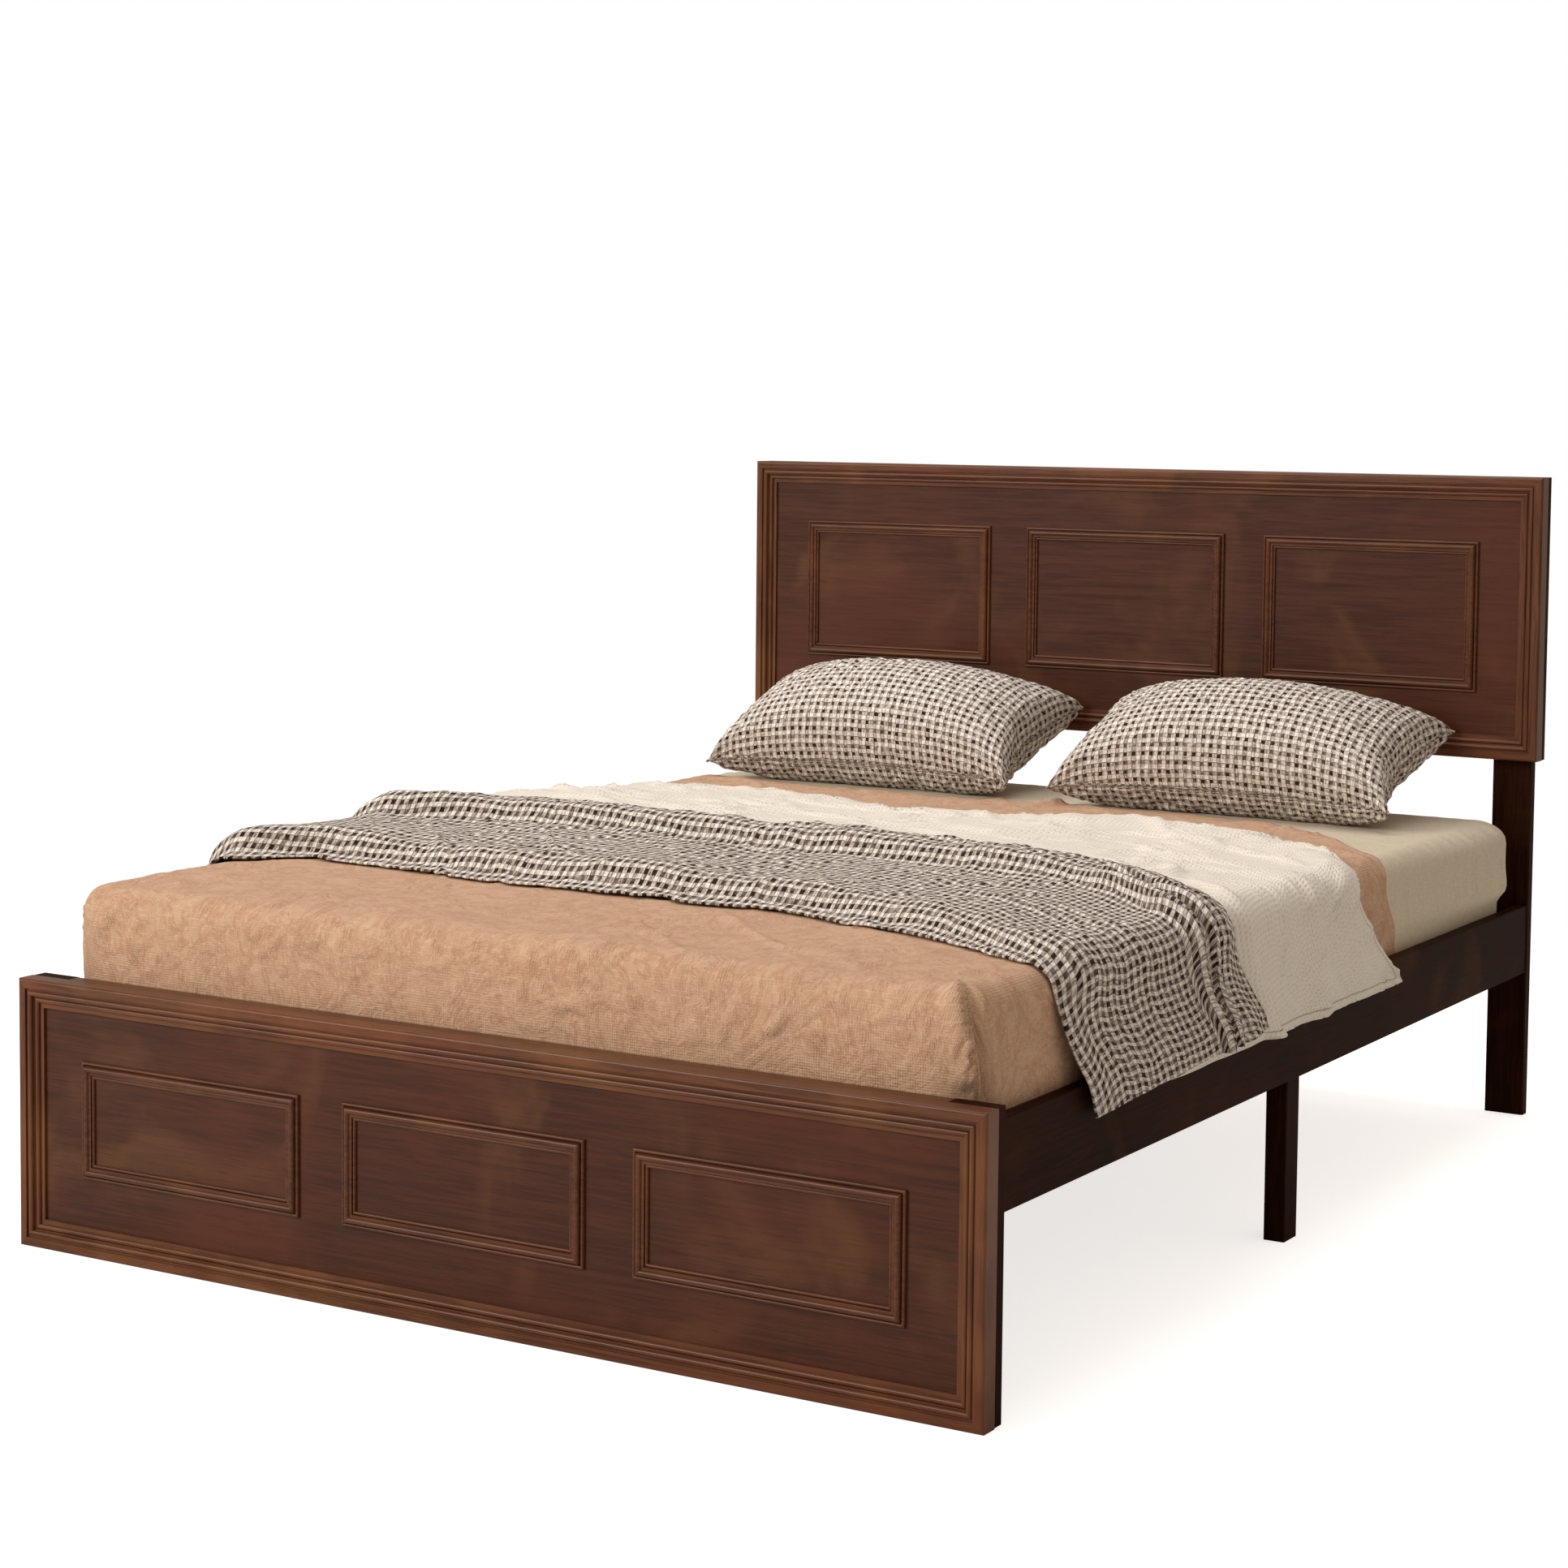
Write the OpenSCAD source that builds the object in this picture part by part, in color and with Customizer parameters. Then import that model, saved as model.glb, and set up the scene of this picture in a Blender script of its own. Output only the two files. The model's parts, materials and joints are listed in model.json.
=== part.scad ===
/* [Overall] */
// Width of the mattress that the bed is made for
mattress_w = 1524; // [1500:4:1548]
// Length of the mattress
mattress_l = 2032; // [2000:4:2060]
// Height of the headboard above the floor
head_h = 1144; // [1130:2:1160]
// Height of the headboard's lower edge above the floor
head_low_z = 641; // [636:1:650]
// Height of the footboard, which reaches the floor
foot_h = 404; // [400:1:410]
// Depth of the slats' top below the footboard's top
deck_drop = 76; // [74:0.5:80]
// Gap between the mattress and a side rail
rail_play = 8; // [7.5:0.5:10]
// Gap between the mattress and the foot legs
mattress_gap = 7; // [6.5:0.5:8]
// Gap between the mattress and the headboard's face
head_gap = 5; // [4:0.5:8]

/* [Framed boards] */
// Width of a moulded rim member
rim_w = 42; // [42:0.5:45]
// Depth of a rim member from front to back
rim_t = 32; // [32:0.5:34]
// Radius of the rim's outer front edge
rim_arris_r = 4; // [3:0.5:4]
// Width of the flat band along the rim's outer edge
band_w = 14; // [12:0.5:14]
// Width of the quirk beside the first bead
quirk_w = 3; // [2:0.5:3]
// Depth of that quirk
quirk_d = 3; // [2:0.5:3]
// Radius of the two beads worked on the rim
bead_r = 4; // [3.5:0.5:4]
// Width of the groove between the beads
bead_groove_w = 2; // [1.5:0.5:2]
// Depth of the groove between the beads
bead_groove_d = 6; // [5:0.5:6]
// Depth of the second bead's crest behind the rim's front
bead_drop = 5; // [4:0.5:5]
// Depth of the plain step at the rim's inner edge
step_d = 10; // [10:0.5:11]
// Depth of the board's face behind the rim's front
field_d = 14; // [13:0.5:14]
// Thickness of the framed board
panel_t = 12; // [10:0.5:12]
// Depth of the board's seat in the rim
panel_seat = 10; // [8:0.5:10]
// Slack of the board in its groove, on each side
panel_play = 0.3; // [0.2:0.1:0.4]
// Gap left by the glue line at each rim mitre
mitre_gap = 0.05; // [0.02:0.01:0.1]

/* [Applied mouldings] */
// Gap between neighbouring moulded rectangles
frame_gap = 78; // [72:1:84]
// Gap between the outer rectangles and the rim's ends
frame_end_gap = 75; // [70:1:80]
// Gap above and below the rectangles on the headboard
head_frame_gap = 74.5; // [70:0.5:80]
// Gap above and below the rectangles on the footboard
foot_frame_gap = 72; // [68:0.5:76]
// Height of the moulding above the board
mould_h = 9; // [9:0.5:10]
// Thickness of the moulding's plain foot
mould_foot_t = 1.5; // [1:0.5:2]
// Radius of the moulding's main bead
mould_bead_r = 4.5; // [4:0.25:4.5]
// Radius of the moulding's outer and inner beads
mould_small_r = 2.5; // [2:0.25:2.5]
// Height of the outer bead's crest
mould_outer_h = 5; // [4.5:0.25:5.5]
// Height of the inner bead's crest
mould_inner_h = 4; // [3.5:0.25:4.5]
// Gap between the outer bead and the main bead
mould_quirk_w = 1; // [0.5:0.25:1.5]
// Width of the flat between the main bead and the inner bead
mould_flat_w = 4; // [3:0.5:5]
// Height of that flat
mould_flat_h = 5.5; // [5:0.25:6]

/* [Posts, legs and cross members] */
// Width of a head post and of a foot leg
post_w = 70; // [66:2:74]
// Thickness of the posts, legs and cross members
post_t = 24; // [22:1:26]
// Inset of the posts' lower part from the board's ends
post_inset = 18; // [16:1:20]
// Inset of the back members from the rim's outer edge
back_inset = 2; // [1:0.5:3]
// Rounding of the edges of bars
bar_r = 2.5; // [1.5:0.5:3]
// Height of the rail behind the top edge of each board
back_rail_h = 60; // [50:2:70]
// Height of the cross member that carries the centre beam
cross_rail_h = 88; // [84:2:92]
// Depth of the cross member's lower edge below the slats' top
cross_drop = 102; // [98:1:104]

/* [Side rails and slats] */
// Height of a side rail
rail_h = 122; // [118:2:126]
// Thickness of a side rail
rail_t = 20; // [20:0.5:22]
// Depth of the side rails' lower edge below the slats' top
rail_drop = 70; // [68:1:72]
// Inset of the side rails' outer face from the boards' ends
rail_inset = 20; // [20:0.5:22]
// Width and height of the ledger screwed inside each rail
ledger_s = 25; // [24:0.5:26]
// Distance from a ledger's end to the leg or the post
ledger_end = 46; // [44:1:50]
// Thickness of a slat
slat_t = 18; // [16:0.5:20]
// Width of a slat
slat_w = 70; // [64:1:76]
// Gap between a slat's end and the side rail
slat_end_gap = 2; // [1:0.5:3]
// Distance from the first slat's centre to the leg or the post
slat_first = 95; // [90:1:100]
// Thickness of a middle leg across the bed
mid_leg_x = 34; // [32:1:36]
// Width of a middle leg along the bed
mid_leg_y = 50; // [48:1:52]
// Width of the centre beam
beam_w = 40; // [38:1:44]
// Height of the centre beam
beam_h = 70; // [66:1:70]
// Gap between the beam's end and its hanger
beam_gap = 1; // [0.5:0.5:2]
// Width of the square legs under the beam
centre_leg_s = 40; // [36:1:44]

/* [Steel fittings] */
// Thickness of the brackets and the hangers
plate_t = 3; // [2.5:0.25:3]
// Length of the bracket's flange on the side rail
bracket_rail_l = 40; // [38:1:42]
// Length of the bracket's flange on the leg or the post
bracket_leg_l = 30; // [28:1:31]
// Height of a corner bracket
bracket_h = 56; // [52:1:58]
// Height of a corner bracket's lower edge above the side rail's
bracket_rise = 6; // [4:1:8]
// Distance of the bracket's holes from its upper and lower edges
bracket_hole_in = 14; // [12:1:16]
// Depth of the beam hangers' seat
hanger_l = 40; // [36:1:44]
// Height of the beam hangers' cheeks
hanger_cheek_h = 48; // [44:1:52]
// Width of the hangers' back plate
hanger_w = 96; // [92:1:100]
// Slack between the beam and the hanger's cheeks
hanger_play = 0.4; // [0.3:0.1:0.6]
// Radius of a screw's shank
screw_r = 2.2; // [2:0.1:2.3]
// Radius of a screw's head
screw_head_r = 4.4; // [4:0.1:4.6]
// Height of a pan head, and depth of a countersunk head
screw_head_h = 2.6; // [2.4:0.1:2.8]
// Radius of the cross recess's circle in a screw head
recess_r = 1.6; // [1.4:0.1:1.8]
// Width of the cross recess's arms
recess_w = 0.9; // [0.8:0.1:1]
// Depth of the cross recess
recess_d = 1.2; // [1:0.1:1.4]
// Clearance around a screw's shank in timber
pilot_play = 0.05; // [0.03:0.01:0.1]
// Clearance around a screw's shank in a plate
plate_play = 0.3; // [0.2:0.05:0.4]
// Length of the screws that hold the fittings
short_l = 16; // [15:0.5:17]
// Length of the screws that hold ledgers and slats
long_l = 36; // [34:0.5:38]
// Length of the slat screws
slat_screw_l = 30; // [28:0.5:32]
// Length of the screws that hold the posts and legs to the boards
post_screw_l = 42; // [40:0.5:43]
// Distance of those screws from the board's outer edge
post_screw_in = 21; // [20:0.5:22]
// Distance of the back rail's screws from the centre of the bed
rail_screw_x = 400; // [380:5:420]
// Length of the screws through the middle legs
leg_screw_l = 46; // [44:0.5:48]
// Radius of a timber dowel
dowel_r = 4; // [4:0.25:5]
// Length of a dowel
dowel_l = 40; // [36:1:44]
// Extra depth of a dowel's hole
dowel_end_gap = 1; // [0.5:0.25:2]
// Distance between the two dowels of a joint
dowel_pitch = 32; // [28:1:36]

/* [Mattress and sheet] */
// Thickness of the mattress
mattress_h = 205; // [200:1:210]
// Rounding of the mattress's upright corners
mattress_corner_r = 60; // [50:5:70]
// Rounding of its upper and lower edges
mattress_edge_r = 34; // [30:1:38]
// Thickness of the fitted sheet
sheet_t = 1.6; // [1.4:0.1:1.8]
// Slack between neighbouring soft layers
soft_gap = 0.6; // [0.5:0.05:0.7]
// Height of the fitted sheet's lower hem above the mattress's underside
sheet_hem = 12; // [10:1:20]

/* [Blanket, coverlet and throw] */
// Thickness of the tan blanket
tan_t = 3; // [2.6:0.2:3.2]
// Distance of the tan blanket's upper hem from the mattress's head end
tan_bare = 275; // [255:5:295]
// The same distance at the bed's sides
tan_side_bare = 530; // [505:5:545]
// Height of the tucked blanket's lower hem above the mattress's underside
tan_hem = 22; // [20:1:30]
// Thickness of the cream coverlet
cream_t = 2.6; // [2.4:0.2:3]
// Distance of the coverlet's lower hem from the mattress's foot end
cream_low = 337; // [327:5:347]
// Distance of the coverlet's upper hem from the mattress's head end
cream_bare = 380; // [365:5:395]
// The same distance at the hem that hangs over the rail
cream_side_bare = 605; // [595:5:620]
// Waviness of the coverlet's upper hem
cream_wave = 20; // [16:1:24]
// Rise of the coverlet above the blanket where it is rumpled
cream_rise = 32; // [28:1:34]
// Length of the coverlet that hangs below the rail's top
cream_hang = 40; // [36:1:44]
// Depth of the folds in the hanging parts
hang_fold = 4.5; // [4:0.25:4.5]
// Gap between the hanging coverlet and the rail
hang_gap = 0.8; // [0.6:0.1:1]
// Thickness of the checked throw
throw_t = 3.4; // [3:0.2:3.6]
// Distance of the throw's lower edge from the mattress's foot end, at the left
throw_left_low = 392; // [382:5:402]
// Distance of the throw's upper edge from the foot end, at the left
throw_left_top = 937; // [927:5:947]
// Distance of the throw's lower edge from the foot end, at the right
throw_right_low = 127; // [117:5:137]
// Distance of the throw's upper edge from the foot end, at the right
throw_right_top = 717; // [707:5:727]
// Shift of the hanging right end towards the head
throw_slant = 110; // [100:5:120]
// Length of the throw that hangs below the rail's top
throw_hang = 44; // [40:1:48]
// Height of the throw's two long ridges
throw_ridge = 34; // [30:1:36]

/* [Pillows] */
// Width of a pillow between its corners
pillow_w = 650; // [640:5:660]
// Depth of a pillow between its seams
pillow_d = 345; // [340:5:355]
// Height of the pillow's crown above its seam
pillow_crown = 138; // [130:2:142]
// Depth of the pillow's underside below its seam
pillow_under = 84; // [80:2:88]
// How far the pillow's sides draw in between the corners
pillow_draw = 26; // [22:1:30]
// Tilt of a pillow against the headboard
pillow_tilt = 22; // [21:0.5:23]
// Distance of the left pillow's middle from the centre of the bed
pillow_left_x = 383; // [378:1:388]
// Distance of the right pillow's middle from the centre of the bed
pillow_right_x = 346; // [340:1:350]
// Height of the pillows' front seam above the mattress
pillow_seam_z = 30; // [28:1:32]
// Gap between the pillows and the headboard
pillow_gap = 4; // [3:0.5:6]

/* [Hidden] */
$fn = 48;
overrun = 1;
n_slats = 12;
leg_shares = [1 / 3, 2 / 3];
n_ledger_bays = [0, 2, 5, 8, 10];
n_frames = 3;
head_screw_shares = [0.12, 0.5, 0.88];
foot_screw_shares = [0.12, 0.5];
sides = [-1, 1];

board_w = mattress_w + 2 * (rail_play + rail_t + rail_inset);
inner_l = mattress_gap + mattress_l + head_gap + rim_t;
slat_top_z = foot_h - deck_drop;
cross_rail_z = slat_top_z - cross_drop;
rail_z = slat_top_z - rail_drop;
bracket_z = rail_z + bracket_rise;
half_w = board_w / 2;
total_l = 2 * post_t + inner_l + rim_t;
foot_y = -total_l / 2;
leg_y = foot_y + rim_t;
in_y0 = leg_y + post_t;
in_y1 = in_y0 + inner_l;
in_mid = (in_y0 + in_y1) / 2;
head_face_y = in_y1 - rim_t;
head_back_y = in_y1 + post_t;
rail_x1 = half_w - rail_inset;
rail_x0 = rail_x1 - rail_t;
rail_top_z = rail_z + rail_h;
leg_x1 = half_w - back_inset;
leg_x0 = leg_x1 - post_w;
post_x1 = half_w - post_inset;
post_x0 = post_x1 - post_w;
head_panel_h = head_h - head_low_z;
frame_w = (board_w - 2 * (rim_w + frame_end_gap) - (n_frames - 1) * frame_gap) / n_frames;
frame_pitch = frame_w + frame_gap;
head_frame_h = head_panel_h - 2 * (rim_w + head_frame_gap);
foot_frame_h = foot_h - 2 * (rim_w + foot_frame_gap);
ledger_top_z = slat_top_z - slat_t;
ledger_z = ledger_top_z - ledger_s;
beam_z = ledger_top_z - beam_h;
slat_pitch = (inner_l - 2 * slat_first) / (n_slats - 1);
cross_mid_z = cross_rail_z + cross_rail_h / 2;
bead_u = band_w + quirk_w + bead_r;
inner_bead_u = bead_u + 2 * bead_r + bead_groove_w;
mould_w_outer = 2 * mould_small_r;
mould_main_u = mould_w_outer + mould_quirk_w + mould_bead_r;
mould_flat_u = mould_main_u + mould_bead_r;
mould_inner_u = mould_flat_u + mould_flat_w + mould_small_r;
mould_w = mould_inner_u + mould_small_r;

walnut = "#5a2f1d";
walnut_dark = "#3a2015";
pine = "#c9a273";
steel = "#b8babd";
sheet_cloth = "#cbbfa8";
tan_cloth = "#c69a78";
cream_cloth = "#ddd2c0";
check_cloth = "#9c938a";

function slat_y(i) = in_y0 + slat_first + i * slat_pitch;
function gap_y(i) = slat_y(i) + slat_pitch / 2;

// Rounded rectangle, the cross section of every bar
module section(a, b) {
  translate([bar_r, 0]) square([a - 2 * bar_r, b]);
  translate([0, bar_r]) square([a, b - 2 * bar_r]);
  for (x = [bar_r, a - bar_r], y = [bar_r, b - bar_r]) translate([x, y]) circle(bar_r);
}
module bar_x(l, d, h) {
  rotate([90, 0, 90]) linear_extrude(l) section(d, h);
}
module bar_y(w, l, h) {
  translate([0, l, 0]) rotate([90, 0, 0]) linear_extrude(l) section(w, h);
}
module bar_z(w, d, l) {
  linear_extrude(l) section(w, d);
}

// Screws point along +z, the underside of the head at z = 0
module cross_recess() {
  translate([-recess_r, -recess_w / 2, 0]) cube([2 * recess_r, recess_w, recess_d]);
  translate([-recess_w / 2, -recess_r, 0]) cube([recess_w, 2 * recess_r, recess_d]);
}
module shank(l) {
  cylinder(r = screw_r, h = l - screw_r);
  translate([0, 0, l - screw_r]) cylinder(r1 = screw_r, r2 = 0, h = screw_r);
}
module pan_screw(l) {
  difference() {
    union() {
      translate([0, 0, -screw_head_h]) cylinder(r = screw_head_r, h = screw_head_h);
      shank(l);
    }
    translate([0, 0, -screw_head_h]) cross_recess();
  }
}
module sunk_screw(l) {
  difference() {
    union() {
      cylinder(r1 = screw_head_r, r2 = screw_r, h = screw_head_h);
      shank(l);
    }
    cross_recess();
  }
}
module bore(l, play) {
  translate([0, 0, -overrun]) cylinder(r = screw_r + play, h = l + 2 * overrun);
}
module sunk_bore(l) {
  bore(l, pilot_play);
  cylinder(r1 = screw_head_r + pilot_play, r2 = screw_r + pilot_play, h = screw_head_h);
}

// Directions for screws and dowels
module to_foot() rotate([90, 0, 0]) children();
module to_head() rotate([-90, 0, 0]) children();
module to_right() rotate([0, 90, 0]) children();

// Moulded rim: depth along x, distance from the outer edge along y
module rim_profile() {
  difference() {
    union() {
      translate([rim_arris_r, rim_arris_r]) circle(rim_arris_r);
      translate([rim_arris_r, 0]) square([rim_t - rim_arris_r, band_w]);
      translate([0, rim_arris_r]) square([rim_t, band_w - rim_arris_r]);
      translate([quirk_d, rim_arris_r]) square([rim_t - quirk_d, bead_u - bead_r - rim_arris_r]);
      translate([bead_r, bead_u]) circle(bead_r);
      translate([bead_r, rim_arris_r]) square([rim_t - bead_r, bead_u + bead_r - rim_arris_r]);
      translate([bead_groove_d, rim_arris_r])
        square([rim_t - bead_groove_d, inner_bead_u - bead_r - rim_arris_r]);
      translate([bead_drop + bead_r, inner_bead_u]) circle(bead_r);
      translate([bead_drop + bead_r, rim_arris_r])
        square([rim_t - bead_drop - bead_r, inner_bead_u + bead_r - rim_arris_r]);
      translate([step_d, rim_arris_r]) square([rim_t - step_d, rim_w - rim_arris_r]);
    }
    translate([field_d - panel_play, rim_w - panel_seat])
      square([panel_t + 2 * panel_play, panel_seat + overrun]);
  }
}
module mould_profile() {
  translate([mould_h - mould_foot_t, 0]) square([mould_foot_t, mould_w]);
  translate([mould_h - mould_outer_h + mould_small_r, 0])
    square([mould_outer_h - mould_small_r, mould_w_outer]);
  translate([mould_h - mould_outer_h + mould_small_r, mould_small_r]) circle(mould_small_r);
  translate([mould_bead_r, mould_main_u - mould_bead_r])
    square([mould_h - mould_bead_r, 2 * mould_bead_r]);
  translate([mould_bead_r, mould_main_u]) circle(mould_bead_r);
  translate([mould_h - mould_flat_h, mould_main_u])
    square([mould_flat_h, mould_flat_u + mould_flat_w - mould_main_u]);
  translate([mould_h - mould_inner_h + mould_small_r, mould_inner_u]) circle(mould_small_r);
}

// One mitred member along +x, its outer edge at z = 0 and its front at y = 0
module mitred(l, w, d, gap) {
  intersection() {
    rotate([90, 0, 90]) linear_extrude(l) children();
    translate([0, d, 0]) rotate([90, 0, 0]) linear_extrude(d)
      polygon([[gap, 0], [l - gap, 0], [l - w - gap, w], [w + gap, w]]);
  }
}
module side_up() mirror([1, 0, 0]) rotate([0, -90, 0]) children();
module rim_bar(l) mitred(l, rim_w, rim_t, mitre_gap) rim_profile();
module rim_bottom(h) translate([-half_w, 0, 0]) rim_bar(board_w);
module rim_top(h) translate([-half_w, 0, h]) mirror([0, 0, 1]) rim_bar(board_w);
module rim_left(h) translate([-half_w, 0, 0]) side_up() rim_bar(h);
module rim_right(h) mirror([1, 0, 0]) rim_left(h);
module board(h) {
  e = rim_w - panel_seat + panel_play;
  translate([-half_w + e, field_d, e]) cube([board_w - 2 * e, panel_t, h - 2 * e]);
}
// The foot runs on round the rectangle, under the four mitred lengths
module moulding_foot(fh) translate([0, mould_h - mould_foot_t, 0]) difference() {
  cube([frame_w, mould_foot_t, fh]);
  translate([mould_w, -overrun, mould_w])
    cube([frame_w - 2 * mould_w, mould_foot_t + 2 * overrun, fh - 2 * mould_w]);
}
module moulding(h, k, fh) {
  x0 = k * frame_pitch - frame_w / 2;
  z0 = (h - fh) / 2;
  translate([x0, field_d - mould_h, z0]) {
    moulding_foot(fh);
    mitred(frame_w, mould_w, mould_h, 0) mould_profile();
    translate([0, 0, fh]) mirror([0, 0, 1]) mitred(frame_w, mould_w, mould_h, 0) mould_profile();
    side_up() mitred(fh, mould_w, mould_h, 0) mould_profile();
    translate([frame_w, 0, 0]) mirror([1, 0, 0])
      side_up() mitred(fh, mould_w, mould_h, 0) mould_profile();
  }
}

// Places of the screws that hold posts, legs and back rails to the boards
module at_head_screws() {
  for (s = sides, k = head_screw_shares)
    translate([s * (half_w - post_screw_in), head_back_y, head_low_z + k * head_panel_h])
      to_foot() children();
  for (s = [-1, 0, 1]) translate([s * rail_screw_x, head_back_y, head_h - post_screw_in])
    to_foot() children();
}
module at_foot_screws() {
  for (s = sides, k = foot_screw_shares)
    translate([s * (half_w - post_screw_in), in_y0, k * foot_h]) to_foot() children();
  for (s = [-1, 0, 1]) translate([s * rail_screw_x, in_y0, foot_h - post_screw_in])
    to_foot() children();
}
module dowel(play) {
  translate([-dowel_l / 2 - play, 0, 0]) to_right()
    cylinder(r = dowel_r + min(play, pilot_play), h = dowel_l + 2 * play);
}
module at_dowels(x, y, z) {
  for (s = sides, k = sides) translate([s * x, y, z + k * dowel_pitch / 2]) children();
}
module head_dowels(play) {
  at_dowels(post_x0, in_y1 + post_t / 2, head_h - back_rail_h / 2) dowel(play);
  at_dowels(post_x0, in_y1 + post_t / 2, cross_mid_z) dowel(play);
}
module foot_dowels(play) {
  at_dowels(leg_x0, leg_y + post_t / 2, foot_h - back_rail_h / 2) dowel(play);
  at_dowels(leg_x0, leg_y + post_t / 2, cross_mid_z) dowel(play);
}
module centre_dowels(play) {
  for (k = leg_shares) translate([0, in_y0 + k * inner_l, beam_z - dowel_l / 2 - play])
    cylinder(r = dowel_r + min(play, pilot_play), h = dowel_l + 2 * play);
}

// Corner brackets: inner corner of rail and leg at the origin, rail towards +y
module bracket_holes() {
  for (z = [bracket_hole_in, bracket_h - bracket_hole_in]) translate([0, 0, z]) {
    translate([-(bracket_leg_l + plate_t) / 2, plate_t, 0]) to_foot() children();
    translate([-plate_t, (bracket_rail_l + plate_t) / 2, 0]) to_right() children();
  }
}
module bracket() {
  difference() {
    linear_extrude(bracket_h) polygon([
      [0, 0], [0, bracket_rail_l], [-plate_t, bracket_rail_l], [-plate_t, plate_t],
      [-bracket_leg_l, plate_t], [-bracket_leg_l, 0]
    ]);
    bracket_holes() bore(plate_t, plate_play);
  }
}
module at_corners() {
  for (sx = [0, 1], sy = [0, 1]) mirror([sx, 0, 0]) mirror([0, sy, 0])
    translate([rail_x0, -inner_l / 2, bracket_z]) children();
}
module corners() translate([0, in_mid, 0]) at_corners() children();

// Beam hangers: steel saddles on the two cross rails
module hanger_holes() {
  x = (beam_w / 2 + hanger_play + plate_t + hanger_w / 2) / 2;
  for (s = sides) translate([s * x, plate_t, plate_t + hanger_cheek_h / 2])
    to_foot() children();
}
module hanger() {
  w = beam_w + 2 * hanger_play;
  difference() {
    union() {
      translate([-hanger_w / 2, 0, 0]) cube([hanger_w, plate_t, hanger_cheek_h + plate_t]);
      translate([-w / 2 - plate_t, 0, 0]) cube([w + 2 * plate_t, hanger_l + plate_t, plate_t]);
      for (s = [0, 1]) mirror([s, 0, 0]) translate([w / 2, 0, 0])
        cube([plate_t, hanger_l + plate_t, hanger_cheek_h + plate_t]);
    }
    hanger_holes() bore(plate_t, plate_play);
  }
}
module at_hangers() {
  translate([0, in_mid, beam_z - plate_t]) for (s = [0, 1]) mirror([0, s, 0])
    translate([0, -inner_l / 2, 0]) children();
}

// Screws of ledgers, middle legs and slats
module at_ledger_screws() {
  for (s = [0, 1], g = n_ledger_bays) mirror([s, 0, 0])
    translate([rail_x0 - ledger_s, gap_y(g), ledger_z + ledger_s / 2]) to_right() children();
}
module at_leg_screws() {
  for (s = [0, 1], k = sides) mirror([s, 0, 0])
    translate([rail_x0 - mid_leg_x, in_mid + k * mid_leg_y / 4, (rail_z + ledger_z) / 2])
      to_right() children();
}
module at_slat_screws(i) {
  for (s = sides) translate([s * (rail_x0 - ledger_s / 2), slat_y(i), slat_top_z])
    mirror([0, 0, 1]) children();
}

module headboard_rim(part) translate([0, head_face_y, head_low_z]) children();
module footboard_at() translate([0, foot_y, 0]) children();

module headboard_panel() color(walnut) headboard_rim() board(head_panel_h);
module headboard_rim_top() color(walnut) difference() {
  headboard_rim() rim_top(head_panel_h);
  at_head_screws() bore(post_screw_l, pilot_play);
}
module headboard_rim_bottom() color(walnut) headboard_rim() rim_bottom(head_panel_h);
module headboard_rim_left() color(walnut) difference() {
  headboard_rim() rim_left(head_panel_h);
  at_head_screws() bore(post_screw_l, pilot_play);
}
module headboard_rim_right() color(walnut) difference() {
  headboard_rim() rim_right(head_panel_h);
  at_head_screws() bore(post_screw_l, pilot_play);
}
module headboard_moulding_left() color(walnut)
  headboard_rim() moulding(head_panel_h, -1, head_frame_h);
module headboard_moulding_centre() color(walnut)
  headboard_rim() moulding(head_panel_h, 0, head_frame_h);
module headboard_moulding_right() color(walnut)
  headboard_rim() moulding(head_panel_h, 1, head_frame_h);
module head_post() difference() {
  union() {
    translate([post_x0, in_y1, 0]) bar_z(post_w, post_t, head_h);
    translate([post_x0, in_y1, head_low_z])
      bar_z(half_w - back_inset - post_x0, post_t, head_panel_h);
  }
  at_head_screws() sunk_bore(post_screw_l);
  head_dowels(dowel_end_gap);
  corners() bracket_holes() bore(short_l, pilot_play);
}
module headboard_post_right() color(walnut_dark) head_post();
module headboard_post_left() color(walnut_dark) mirror([1, 0, 0]) head_post();
module headboard_back_rail() color(walnut_dark) difference() {
  translate([-post_x0, in_y1, head_h - back_rail_h]) bar_x(2 * post_x0, post_t, back_rail_h);
  at_head_screws() sunk_bore(post_screw_l);
  head_dowels(dowel_end_gap);
}
module headboard_cross_rail() color(walnut_dark) difference() {
  translate([-post_x0, in_y1, cross_rail_z]) bar_x(2 * post_x0, post_t, cross_rail_h);
  head_dowels(dowel_end_gap);
  at_hangers() hanger_holes() bore(short_l, pilot_play);
}
module headboard_screws() color(steel) at_head_screws() sunk_screw(post_screw_l);

module footboard_panel() color(walnut) footboard_at() board(foot_h);
module footboard_rim_top() color(walnut) difference() {
  footboard_at() rim_top(foot_h);
  at_foot_screws() bore(post_screw_l, pilot_play);
}
module footboard_rim_bottom() color(walnut) footboard_at() rim_bottom(foot_h);
module footboard_rim_left() color(walnut) difference() {
  footboard_at() rim_left(foot_h);
  at_foot_screws() bore(post_screw_l, pilot_play);
}
module footboard_rim_right() color(walnut) difference() {
  footboard_at() rim_right(foot_h);
  at_foot_screws() bore(post_screw_l, pilot_play);
}
module footboard_moulding_left() color(walnut)
  footboard_at() moulding(foot_h, -1, foot_frame_h);
module footboard_moulding_centre() color(walnut)
  footboard_at() moulding(foot_h, 0, foot_frame_h);
module footboard_moulding_right() color(walnut)
  footboard_at() moulding(foot_h, 1, foot_frame_h);
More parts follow.
